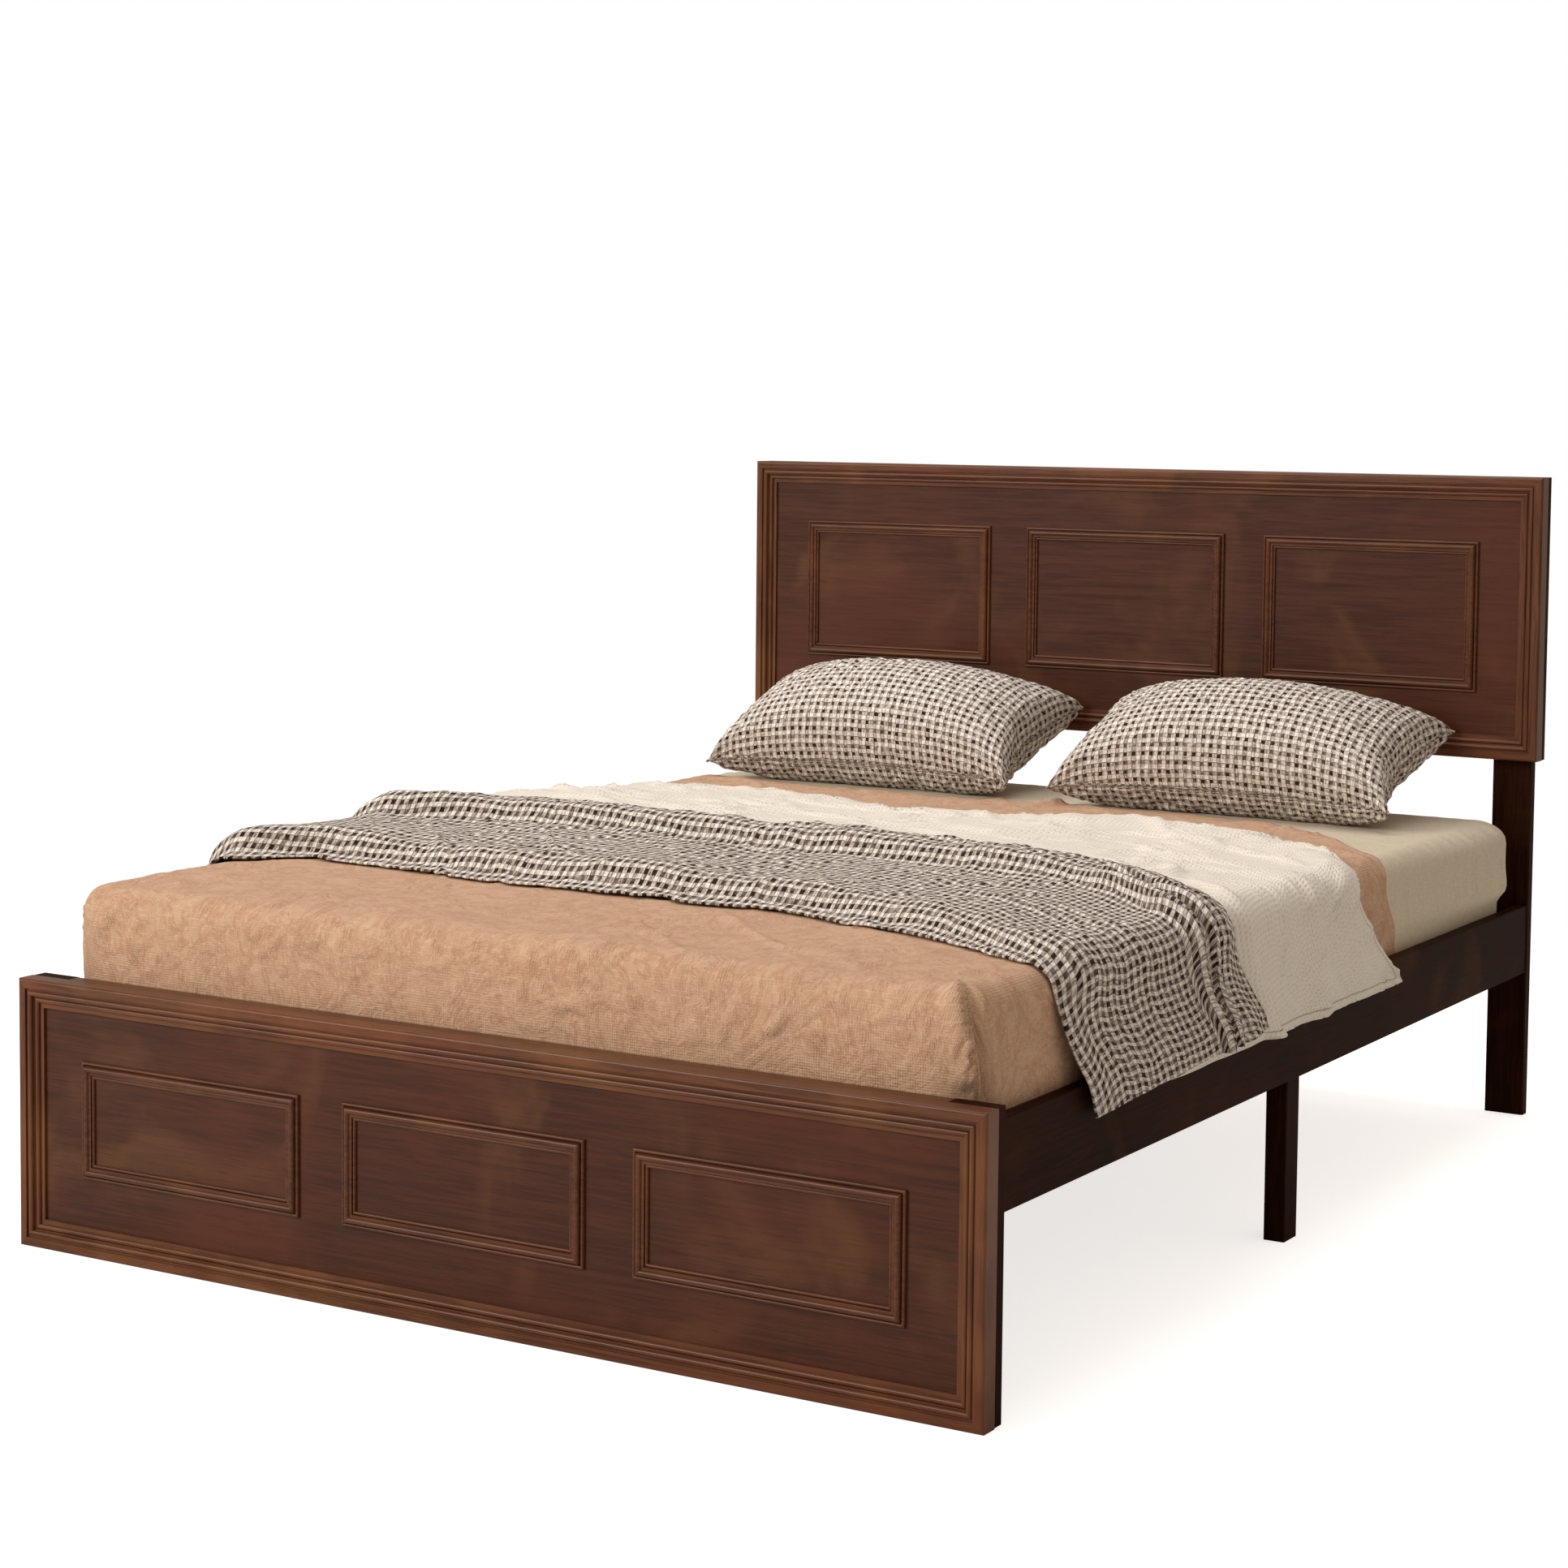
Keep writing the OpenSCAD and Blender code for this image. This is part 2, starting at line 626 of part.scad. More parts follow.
module foot_leg() difference() {
  translate([leg_x0, leg_y, 0]) bar_z(post_w, post_t, foot_h);
  at_foot_screws() sunk_bore(post_screw_l);
  foot_dowels(dowel_end_gap);
  corners() bracket_holes() bore(short_l, pilot_play);
}
module footboard_leg_right() color(walnut_dark) foot_leg();
module footboard_leg_left() color(walnut_dark) mirror([1, 0, 0]) foot_leg();
module footboard_back_rail() color(walnut_dark) difference() {
  translate([-leg_x0, leg_y, foot_h - back_rail_h]) bar_x(2 * leg_x0, post_t, back_rail_h);
  at_foot_screws() sunk_bore(post_screw_l);
  foot_dowels(dowel_end_gap);
}
module footboard_cross_rail() color(walnut_dark) difference() {
  translate([-leg_x0, leg_y, cross_rail_z]) bar_x(2 * leg_x0, post_t, cross_rail_h);
  foot_dowels(dowel_end_gap);
  at_hangers() hanger_holes() bore(short_l, pilot_play);
}
module footboard_screws() color(steel) at_foot_screws() sunk_screw(post_screw_l);
module frame_dowels() color(pine) {
  head_dowels(0);
  foot_dowels(0);
  centre_dowels(0);
}

module rail() difference() {
  translate([rail_x0, in_y0, rail_z]) bar_y(rail_t, inner_l, rail_h);
  corners() bracket_holes() bore(short_l, pilot_play);
  at_ledger_screws() bore(long_l, pilot_play);
  at_leg_screws() bore(leg_screw_l, pilot_play);
}
module side_rail_right() color(walnut_dark) rail();
module side_rail_left() color(walnut_dark) mirror([1, 0, 0]) rail();
module ledger() difference() {
  translate([rail_x0 - ledger_s, in_y0 + ledger_end, ledger_z])
    cube([ledger_s, inner_l - 2 * ledger_end, ledger_s]);
  at_ledger_screws() sunk_bore(long_l);
  for (i = [0:n_slats - 1]) at_slat_screws(i) bore(slat_screw_l, pilot_play);
}
module ledger_right() color(pine) ledger();
module ledger_left() color(pine) mirror([1, 0, 0]) ledger();
module mid_leg() difference() {
  translate([rail_x0 - mid_leg_x, in_mid - mid_leg_y / 2, 0]) bar_z(mid_leg_x, mid_leg_y, ledger_z);
  at_leg_screws() bore(leg_screw_l, pilot_play);
}
module mid_leg_right() color(walnut_dark) mid_leg();
module mid_leg_left() color(walnut_dark) mirror([1, 0, 0]) mid_leg();
module corner_brackets() color(steel) corners() bracket();
module centre_beam() color(pine) difference() {
  translate([-beam_w / 2, in_y0 + plate_t + beam_gap, beam_z])
    bar_y(beam_w, inner_l - 2 * (plate_t + beam_gap), beam_h);
  centre_dowels(dowel_end_gap);
}
module beam_hangers() color(steel) at_hangers() hanger();
module centre_leg(k) difference() {
  translate([-centre_leg_s / 2, in_y0 + leg_shares[k] * inner_l - centre_leg_s / 2, 0])
    bar_z(centre_leg_s, centre_leg_s, beam_z);
  centre_dowels(dowel_end_gap);
}
module centre_leg_foot() color(pine) centre_leg(0);
module centre_leg_head() color(pine) centre_leg(1);
module frame_screws() color(steel) {
  corners() bracket_holes() pan_screw(short_l);
  at_hangers() hanger_holes() pan_screw(short_l);
  at_ledger_screws() sunk_screw(long_l);
  at_leg_screws() pan_screw(leg_screw_l);
}
module slat_screws() color(steel) for (i = [0:n_slats - 1]) at_slat_screws(i) sunk_screw(slat_screw_l);
module slat(i) color(pine) difference() {
  translate([-rail_x0 + slat_end_gap, slat_y(i) - slat_w / 2, ledger_top_z])
    bar_x(2 * (rail_x0 - slat_end_gap), slat_w, slat_t);
  at_slat_screws(i) sunk_bore(slat_screw_l);
}
module slat_01() slat(0);
module slat_02() slat(1);
module slat_03() slat(2);
module slat_04() slat(3);
module slat_05() slat(4);
module slat_06() slat(5);
module slat_07() slat(6);
module slat_08() slat(7);
module slat_09() slat(8);
module slat_10() slat(9);
module slat_11() slat(10);
module slat_12() slat(11);

// Rounded rectangle in plan, as a ring of points
n_corner = 6;
function plan_ring(hx, hy, r, z) = [
  for (c = [0:3], j = [0:n_corner])
    let (a = 90 * c + 90 * j / n_corner, sx = (c == 0 || c == 3) ? 1 : -1, sy = c < 2 ? 1 : -1)
    [sx * (hx - r) + r * cos(a), sy * (hy - r) + r * sin(a), z]
];
n_ring = 4 * (n_corner + 1);
function flat(l) = [for (a = l) for (b = a) b];
// Faces between stacked rings of n points, seen from outside
function wall(n, k0, k1) = [
  for (k = [k0:k1 - 1], i = [0:n - 1])
    let (a = k * n + i, b = k * n + (i + 1) % n) [a, a + n, b + n, b]
];
// Outline of the mattress grown by o, from the height h0 to the top
n_edge = 5;
bed_y0 = in_y0 + mattress_gap;
bed_y1 = bed_y0 + mattress_l;
mattress_cy = (bed_y0 + bed_y1) / 2;
mattress_top_z = slat_top_z + mattress_h;
function bed_rings(o, h0, low) = [
  for (p = concat(
    low ? [for (j = [0:n_edge]) let (a = 90 - 90 * j / n_edge)
      [mattress_edge_r * (1 - cos(a)), mattress_edge_r * (1 - sin(a))]] : [[0, h0]],
    [for (j = [0:n_edge]) let (a = 90 * j / n_edge)
      [-(mattress_edge_r + o) * (1 - cos(a)), mattress_h - mattress_edge_r + (mattress_edge_r + o) * sin(a)]]))
    plan_ring(mattress_w / 2 + o - abs(p[0]), mattress_l / 2 + o - abs(p[0]),
      mattress_corner_r + o - abs(p[0]), slat_top_z + p[1])
];
module mattress() color("#efe9dd") translate([0, mattress_cy, 0]) {
  rings = bed_rings(0, 0, true);
  n = len(rings);
  polyhedron(
    points = flat(rings),
    faces = concat(
      [[for (i = [0:n_ring - 1]) i]],
      wall(n_ring, 0, n - 1),
      [[for (i = [n_ring - 1:-1:0]) (n - 1) * n_ring + i]]),
    convexity = 4);
}
module fitted_sheet() color(sheet_cloth) translate([0, mattress_cy, 0]) {
  inner = bed_rings(soft_gap, sheet_hem, false);
  outer = bed_rings(soft_gap + sheet_t, sheet_hem, false);
  n = len(inner);
  m = n * n_ring;
  polyhedron(
    points = concat(flat(inner), flat(outer)),
    faces = concat(
      [for (f = wall(n_ring, 0, n - 1)) [f[3], f[2], f[1], f[0]]],
      [[for (i = [0:n_ring - 1]) (n - 1) * n_ring + i]],
      [for (f = wall(n_ring, 0, n - 1)) [for (v = f) v + m]],
      [[for (i = [n_ring - 1:-1:0]) m + (n - 1) * n_ring + i]],
      [for (i = [0:n_ring - 1]) let (j = (i + 1) % n_ring) [i, i + m, j + m, j]]),
    convexity = 4);
}

// Tan blanket: tucked in at the foot and both sides, open towards the head
tan_o = 2 * soft_gap + sheet_t;
tan_n = 6;
function tan_hem_y(s) = mattress_l / 2 - tan_bare - (tan_side_bare - tan_bare) * pow(s, 3);
function tan_path(o, q, z) = concat(
  [for (k = [0:1]) [-(mattress_w / 2 + o - q), k == 0 ? tan_hem_y(1) : 0, z]],
  [for (c = [2:3], j = [0:n_corner])
    let (a = 90 * c + 90 * j / n_corner, sx = c == 3 ? 1 : -1, r = mattress_corner_r + o - q)
    [sx * (mattress_w / 2 + o - q - r) + r * cos(a),
      -(mattress_l / 2 + o - q - r) + r * sin(a), z]],
  [for (k = [1:-1:0]) [mattress_w / 2 + o - q, k == 0 ? tan_hem_y(1) : 0, z]]);
function tan_rings(o) = [
  for (p = concat([[0, tan_hem]],
    [for (j = [0:n_edge]) let (a = 90 * j / n_edge)
      [(mattress_edge_r + o) * (1 - cos(a)), mattress_h - mattress_edge_r + (mattress_edge_r + o) * sin(a)]]))
    tan_path(o, p[0], slat_top_z + p[1])
];
function tan_head(o) = [
  for (k = [1:2 * tan_n - 1]) let (s = 1 - k / tan_n, x = s * (mattress_w / 2 - mattress_edge_r))
    [x, tan_hem_y(abs(s)), slat_top_z + mattress_h + o]
];
module tan_blanket() color(tan_cloth) translate([0, mattress_cy, 0]) {
  inner = tan_rings(tan_o);
  outer = tan_rings(tan_o + tan_t);
  n = len(inner);
  w = len(inner[0]);
  h = 2 * tan_n - 1;
  m = n * w + h;
  strip = [for (k = [0:n - 2], i = [0:w - 2]) let (a = k * w + i) [a, a + w, a + w + 1, a + 1]];
  top = concat([for (i = [0:w - 1]) (n - 1) * w + i], [for (i = [0:h - 1]) n * w + i]);
  rim = concat([for (i = [0:w - 1]) i], [for (k = [1:n - 1]) k * w + w - 1],
    [for (i = [0:h - 1]) n * w + i], [for (k = [n - 1:-1:1]) k * w]);
  r = len(rim);
  polyhedron(
    points = concat(flat(inner), tan_head(tan_o), flat(outer), tan_head(tan_o + tan_t)),
    faces = concat(
      [for (f = strip) [f[3], f[2], f[1], f[0]]],
      [top],
      [for (f = strip) [for (v = f) v + m]],
      [[for (i = [len(top) - 1:-1:0]) top[i] + m]],
      [for (i = [0:r - 1]) let (a = rim[i], b = rim[(i + 1) % r]) [a, a + m, b + m, b]]),
    convexity = 6);
}

// Section of a cover hung over the rails, from the centre out to the right hem:
// x, z, normal x, normal z, weight of the rumples, weight of the hanging folds
n_top = 6;
n_arc = 3;
function cover_half(o, g, hem_z) =
  let (cx = mattress_w / 2 - mattress_edge_r, cz = mattress_top_z - mattress_edge_r,
    r = mattress_edge_r + o, ex = cx + r * cos(12), ez = cz + r * sin(12),
    px = rail_x1 + g)
  concat(
    [for (k = [0:n_top]) [k * cx / n_top, mattress_top_z + o, 0, 1, 1, 0]],
    [for (j = [1:n_arc]) let (a = 90 - 78 * j / n_arc)
      [cx + r * cos(a), cz + r * sin(a), cos(a), sin(a), 1 - j / n_arc, j / n_arc / 4]],
    [[(ex + px) / 2, (ez + rail_top_z) / 2, 1, 0, 0, 0.6],
      [px, rail_top_z, 1, 0, 0, 0.8],
      [px, (rail_top_z + hem_z) / 2, 1, 0, 0, 1],
      [px, hem_z, 1, 0, 0, 1]]);
function cover_section(o, g, hem_z) = let (h = cover_half(o, g, hem_z), n = len(h)) concat(
  [for (i = [n - 1:-1:1]) [-h[i][0], h[i][1], -h[i][2], h[i][3], h[i][4], h[i][5]]], h);
// Rumples are highest towards the left and fade at both hems
function bump(t) = (t <= 0 || t >= 1) ? 0 : pow(sin(180 * t), 2);
cream_y0 = bed_y0 + cream_low;
cream_y1 = bed_y1 - cream_bare;
function rumple(x, y) = cream_rise * bump((y - cream_y0) / (cream_y1 - cream_y0))
  * (1 - 0.8 * (x + mattress_w / 2) / mattress_w);
module sheet_solid(inner, outer, nu, nv) {
  m = nu * nv;
  rim = concat([for (i = [0:nu - 1]) i * nv], [for (j = [1:nv - 1]) (nu - 1) * nv + j],
    [for (i = [nu - 2:-1:0]) i * nv + nv - 1], [for (j = [nv - 2:-1:1]) j]);
  r = len(rim);
  quads = flat([for (i = [0:nu - 2], j = [0:nv - 2]) let (a = i * nv + j)
    [[a, a + nv, a + nv + 1], [a, a + nv + 1, a + 1]]]);
  polyhedron(
    points = concat(inner, outer),
    faces = concat(
      quads,
      [for (q = quads) [q[2] + m, q[1] + m, q[0] + m]],
      flat([for (i = [0:r - 1]) let (a = rim[i], b = rim[(i + 1) % r])
        [[b, a, a + m], [b, a + m, b + m]]])),
    convexity = 8);
}
cream_o = tan_o + tan_t + soft_gap;
n_cream = 16;
cream_left_share = 0.25;
cream_sweep_share = 0.62;
function cream_points(d) =
  let (s = cover_section(cream_o, hang_gap, rail_top_z - cream_hang), n = len(s))
  [for (i = [0:n - 1], j = [0:n_cream])
    let (u = abs(2 * i / (n - 1) - 1), t = j / n_cream,
      sweep = (2 * i < n ? cream_left_share : 1) * pow(min(1, u / cream_sweep_share), 3),
      y1 = cream_y1 - (cream_side_bare - cream_bare) * sweep
        + cream_wave * sin(900 * i / (n - 1)) * (1 - u),
      y = cream_y0 + t * (y1 - cream_y0),
      f = d + s[i][4] * rumple(s[i][0], y) + s[i][5] * hang_fold * (0.5 + 0.5 * sin(360 * 5.5 * t)))
    [s[i][0] + f * s[i][2], y, s[i][1] + f * s[i][3]]];
module cream_coverlet() color(cream_cloth)
  sheet_solid(cream_points(0), cream_points(cream_t), 2 * (n_top + n_arc + 4) + 1, n_cream + 1);

throw_o = cream_o + cream_t + 2 * soft_gap;
throw_shares = [0, 0.04, 0.09, 0.14, 0.19, 0.25, 0.34, 0.45, 0.56, 0.66, 0.73, 0.79, 0.85, 0.9, 0.95, 1];
throw_ridge_shares = [0, 0.75, 1, 0.8, 0.35, 0.08, 0, 0.1, 0, 0.12, 0.45, 0.9, 1, 0.7, 0.25, 0];
function throw_points(d) =
  let (s = cover_section(throw_o, hang_gap + hang_fold + cream_t + soft_gap,
      rail_top_z - throw_hang), n = len(s),
    m = len(throw_shares))
  [for (i = [0:n - 1], j = [0:m - 1])
    let (u = i / (n - 1), w = s[i][5], slant = u > 0.5 ? throw_slant * w : 0,
      y0 = throw_left_low + u * (throw_right_low - throw_left_low) + slant,
      y1 = throw_left_top + u * (throw_right_top - throw_left_top) + slant,
      y = bed_y0 + y0 + throw_shares[j] * (y1 - y0),
      f = d + s[i][4] * rumple(s[i][0], y) + pow(1 - w, 2) * throw_ridge * throw_ridge_shares[j]
        + w * hang_fold * (0.5 + 0.5 * sin(360 * 3 * throw_shares[j])) * 0.8)
    [s[i][0] + f * s[i][2], y, s[i][1] + f * s[i][3]]];
module checked_throw() color(check_cloth)
  sheet_solid(throw_points(0), throw_points(throw_t), 2 * (n_top + n_arc + 4) + 1, len(throw_shares));

// Pillows: two faces that meet at the seam, the underside flattened where it rests
pn = 14;
pm = 10;
rest_z = mattress_top_z + tan_o;
function pillow_point(i, j, top, cx) =
  let (u = 2 * i / pn - 1, v = 2 * j / pm - 1,
    su = sin(90 * u), sv = sin(90 * v),
    x = su * (pillow_w / 2 - pillow_draw * (1 - sv * sv)),
    y = sv * (pillow_d / 2 - pillow_draw * (1 - su * su)),
    b = pow(max(0, (1 - su * su) * (1 - sv * sv)), 0.42),
    z = top ? pillow_crown * b : -pillow_under * b,
    yr = y * cos(pillow_tilt) - z * sin(pillow_tilt),
    zr = (y + pillow_d / 2) * sin(pillow_tilt) + z * cos(pillow_tilt))
  [cx + x, min(yr + head_face_y - pillow_gap - pillow_d / 2 * cos(pillow_tilt), head_face_y - pillow_gap),
    max(zr + rest_z + pillow_seam_z, rest_z)];
function pid(i, j, top) = let (edge = i == 0 || i == pn || j == 0 || j == pm)
  (top || edge) ? i * (pm + 1) + j : (pn + 1) * (pm + 1) + (i - 1) * (pm - 1) + j - 1;
// Corners of one cell, turned so that its diagonal runs inwards from the seam
function pillow_cell(i, j, top) = (i < pn / 2) == (j < pm / 2)
  ? [pid(i, j, top), pid(i + 1, j, top), pid(i + 1, j + 1, top), pid(i, j + 1, top)]
  : [pid(i + 1, j, top), pid(i + 1, j + 1, top), pid(i, j + 1, top), pid(i, j, top)];
module pillow(cx) {
  polyhedron(
    points = concat(
      [for (i = [0:pn], j = [0:pm]) pillow_point(i, j, true, cx)],
      [for (i = [1:pn - 1], j = [1:pm - 1]) pillow_point(i, j, false, cx)]),
    faces = concat(
      flat([for (i = [0:pn - 1], j = [0:pm - 1]) let (q = pillow_cell(i, j, true))
        [[q[2], q[1], q[0]], [q[3], q[2], q[0]]]]),
      flat([for (i = [0:pn - 1], j = [0:pm - 1]) let (q = pillow_cell(i, j, false))
        [[q[0], q[1], q[2]], [q[0], q[2], q[3]]]])),
    convexity = 4);
}
module pillow_left() color(check_cloth) pillow(-pillow_left_x);
module pillow_right() color(check_cloth) pillow(pillow_right_x);

headboard_panel();
headboard_rim_top();
headboard_rim_bottom();
headboard_rim_left();
headboard_rim_right();
headboard_moulding_left();
headboard_moulding_centre();
headboard_moulding_right();
headboard_post_left();
headboard_post_right();
headboard_back_rail();
headboard_cross_rail();
headboard_screws();
footboard_panel();
footboard_rim_top();
footboard_rim_bottom();
footboard_rim_left();
footboard_rim_right();
footboard_moulding_left();
footboard_moulding_centre();
footboard_moulding_right();
footboard_leg_left();
footboard_leg_right();
footboard_back_rail();
footboard_cross_rail();
footboard_screws();
frame_dowels();
side_rail_left();
side_rail_right();
ledger_left();
ledger_right();
mid_leg_left();
mid_leg_right();
corner_brackets();
centre_beam();
beam_hangers();
centre_leg_foot();
centre_leg_head();
frame_screws();
slat_screws();
slat_01();
slat_02();
slat_03();
slat_04();
slat_05();
slat_06();
slat_07();
slat_08();
slat_09();
slat_10();
slat_11();
slat_12();
mattress();
fitted_sheet();
tan_blanket();
cream_coverlet();
checked_throw();
pillow_left();
pillow_right();
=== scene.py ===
import json
import math
import bpy
import numpy as np
from mathutils import Matrix, Vector


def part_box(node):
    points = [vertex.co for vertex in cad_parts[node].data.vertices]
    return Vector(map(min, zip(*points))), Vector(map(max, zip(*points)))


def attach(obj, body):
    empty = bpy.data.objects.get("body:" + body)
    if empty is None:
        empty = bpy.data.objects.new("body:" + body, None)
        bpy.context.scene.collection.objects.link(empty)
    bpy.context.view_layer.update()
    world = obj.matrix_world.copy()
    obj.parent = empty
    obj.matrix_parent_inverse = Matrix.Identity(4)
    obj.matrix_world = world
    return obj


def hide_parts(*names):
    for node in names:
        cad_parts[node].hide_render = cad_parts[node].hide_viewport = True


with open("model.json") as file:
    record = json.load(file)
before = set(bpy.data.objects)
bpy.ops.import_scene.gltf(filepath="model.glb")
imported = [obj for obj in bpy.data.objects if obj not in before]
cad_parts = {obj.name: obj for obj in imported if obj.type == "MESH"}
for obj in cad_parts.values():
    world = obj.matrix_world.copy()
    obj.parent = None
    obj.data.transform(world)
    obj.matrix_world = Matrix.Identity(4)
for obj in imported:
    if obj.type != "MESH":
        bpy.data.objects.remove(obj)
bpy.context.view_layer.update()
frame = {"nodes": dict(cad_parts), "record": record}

MM = 0.001

# Camera, fitted to the corners of the two boards, the posts and the rails
SENSOR_MM = 36.0
CAMERA_AT = Vector((2.601, -4.571, 1.284))
CAMERA_YAW = math.radians(31.96)
CAMERA_PITCH = math.radians(-4.13)
CAMERA_ROLL = math.radians(0.474)
PHOTO_PX = 1932
FOCAL_PX = 3987
CAMERA_SHIFT = (0.0393, -0.1014)
CAMERA_CLIP = (0.05, 90)


def make_camera():
    data = bpy.data.cameras.new("camera")
    camera = bpy.data.objects.new("camera", data)
    bpy.context.scene.collection.objects.link(camera)
    turned = Matrix.Rotation(CAMERA_YAW, 4, "Z") @ Matrix.Rotation(math.pi / 2 + CAMERA_PITCH, 4, "X")
    turned = turned @ Matrix.Rotation(CAMERA_ROLL, 4, "Z")
    camera.matrix_world = Matrix.Translation(CAMERA_AT) @ turned
    data.sensor_width = SENSOR_MM
    data.lens = FOCAL_PX / PHOTO_PX * SENSOR_MM
    data.shift_x, data.shift_y = CAMERA_SHIFT
    data.clip_start, data.clip_end = CAMERA_CLIP
    bpy.context.scene.camera = camera


make_camera()


def linear(hexa):
    """An sRGB hex colour as linear RGBA."""
    rgb = [int(hexa[i:i + 2], 16) / 255 for i in (1, 3, 5)]
    return tuple(c / 12.92 if c <= 0.04045 else ((c + 0.055) / 1.055) ** 2.4 for c in rgb) + (1.0,)


def new_material(name):
    material = bpy.data.materials.new(name)
    material.use_nodes = True
    material.node_tree.nodes.clear()
    return material


def add(material, kind, inputs=None, out=0, **settings):
    """Adds a shader node; its inputs are values or sockets. Gives the output socket numbered out."""
    tree = material.node_tree
    node = tree.nodes.new("ShaderNode" + kind)
    for name, value in settings.items():
        setattr(node, name, value)
    for name, value in (inputs or {}).items():
        if isinstance(value, bpy.types.NodeSocket):
            tree.links.new(value, node.inputs[name])
        else:
            node.inputs[name].default_value = value
    return node.outputs[out] if node.outputs else node


# In a MapRange node, inputs 1 and 2 are the range read, and 3 and 4 the range given
SMOOTH = dict(interpolation_type="SMOOTHSTEP")


def in_coats(m, ground, *coats):
    """The ground colour, with each coat's colour laid over it by that coat's share."""
    colour = linear(ground)
    for share, coat in coats:
        colour = add(m, "Mix", {0: share, 6: colour, 7: linear(coat)}, 2, data_type="RGBA")
    return colour


# How many times longer than wide the grain's marks are
GRAIN_REACH = 24
GRAIN_ALONG = {way: [1 if way == axis else GRAIN_REACH for axis in "xyz"] for way in "xyz"}
STREAK_MM = 6
FIBRE_MM = 2.6
STAIN_CLOUD_MM = 210
RED_CLOUD_MM = 420
# The furthest that a piece's pattern is shifted, in metres
PIECE_SHIFT = 7.0


def own_place(m):
    """Each piece's own coordinates, shifted so that no two boards match."""
    where = add(m, "TexCoord", out=3)
    own = add(m, "ObjectInfo", out=5)
    far = add(m, "VectorMath", {0: own, "Scale": PIECE_SHIFT}, operation="SCALE")
    return add(m, "VectorMath", {0: where, 1: far}, operation="ADD")


def stained_walnut(name, dark, mid, warm, red, grain, roughness, gloss=0.17):
    """Wiped walnut stain under satin lacquer: cloudy warm patches, fine dark fibres, a soft sheen."""
    m = new_material(name)
    place = own_place(m)
    along = add(m, "Mapping", {"Vector": place, "Scale": GRAIN_ALONG[grain]})
    streak = add(m, "TexNoise", {
        "Vector": along, "Scale": 1000 / STREAK_MM / GRAIN_REACH, "Detail": 4.0,
        "Roughness": 0.6, "Distortion": 0.8})
    fibre = add(m, "TexNoise", {
        "Vector": along, "Scale": 1000 / FIBRE_MM / GRAIN_REACH, "Detail": 4.0, "Roughness": 0.65})
    cloud = add(m, "TexNoise", {
        "Vector": place, "Scale": 1000 / STAIN_CLOUD_MM, "Detail": 3.0, "Distortion": 0.6})
    blush = add(m, "TexNoise", {
        "Vector": place, "Scale": 1000 / RED_CLOUD_MM, "Detail": 2.0, "Distortion": 0.4})
    tone = add(m, "MapRange", {0: streak, 1: 0.30, 2: 0.66}, **SMOOTH)
    patch = add(m, "MapRange", {0: cloud, 1: 0.50, 2: 0.70, 4: 0.7}, **SMOOTH)
    ruddy = add(m, "MapRange", {0: blush, 1: 0.45, 2: 0.70, 4: 0.5}, **SMOOTH)
    thin = add(m, "MapRange", {0: fibre, 1: 0.52, 2: 0.70, 4: 0.5}, **SMOOTH)
    colour = in_coats(m, dark, (tone, mid), (patch, warm), (ruddy, red), (thin, dark))
    relief = add(m, "Bump", {"Height": fibre, "Distance": 0.12 * MM, "Strength": 0.6})
    dull = add(m, "MapRange", {0: streak, 1: 0.3, 2: 0.7, 3: roughness - 0.04, 4: roughness + 0.06})
    bsdf = add(m, "BsdfPrincipled", {
        "Base Color": colour, "Roughness": dull, "Specular IOR Level": gloss,
        "Coat Weight": 0.3 * gloss, "Coat Roughness": 0.22, "Normal": relief})
    add(m, "OutputMaterial", {0: bsdf})
    return m


RING_MM = 9
PINE_FIBRE_MM = 2.4


def planed_pine(name, grain):
    """Planed, unfinished pine: pale and dull, with soft growth rings along the length."""
    m = new_material(name)
    place = own_place(m)
    along = add(m, "Mapping", {"Vector": place, "Scale": GRAIN_ALONG[grain]})
    ring = add(m, "TexNoise", {
        "Vector": along, "Scale": 1000 / RING_MM / GRAIN_REACH, "Detail": 4.0, "Distortion": 1.1})
    fibre = add(m, "TexNoise", {"Vector": along, "Scale": 1000 / PINE_FIBRE_MM / GRAIN_REACH, "Detail": 3.0})
    late = add(m, "MapRange", {0: ring, 1: 0.44, 2: 0.62}, **SMOOTH)
    dark = add(m, "MapRange", {0: fibre, 1: 0.52, 2: 0.75, 4: 0.4})
    colour = in_coats(m, "#d6b588", (late, "#b98d5b"), (dark, "#a67947"))
    relief = add(m, "Bump", {"Height": fibre, "Distance": 0.2 * MM, "Strength": 0.5})
    bsdf = add(m, "BsdfPrincipled", {"Base Color": colour, "Roughness": 0.62, "Normal": relief})
    add(m, "OutputMaterial", {0: bsdf})
    return m


SPANGLE_MM = 2.4
DRAWN_LINE_MM = 0.9


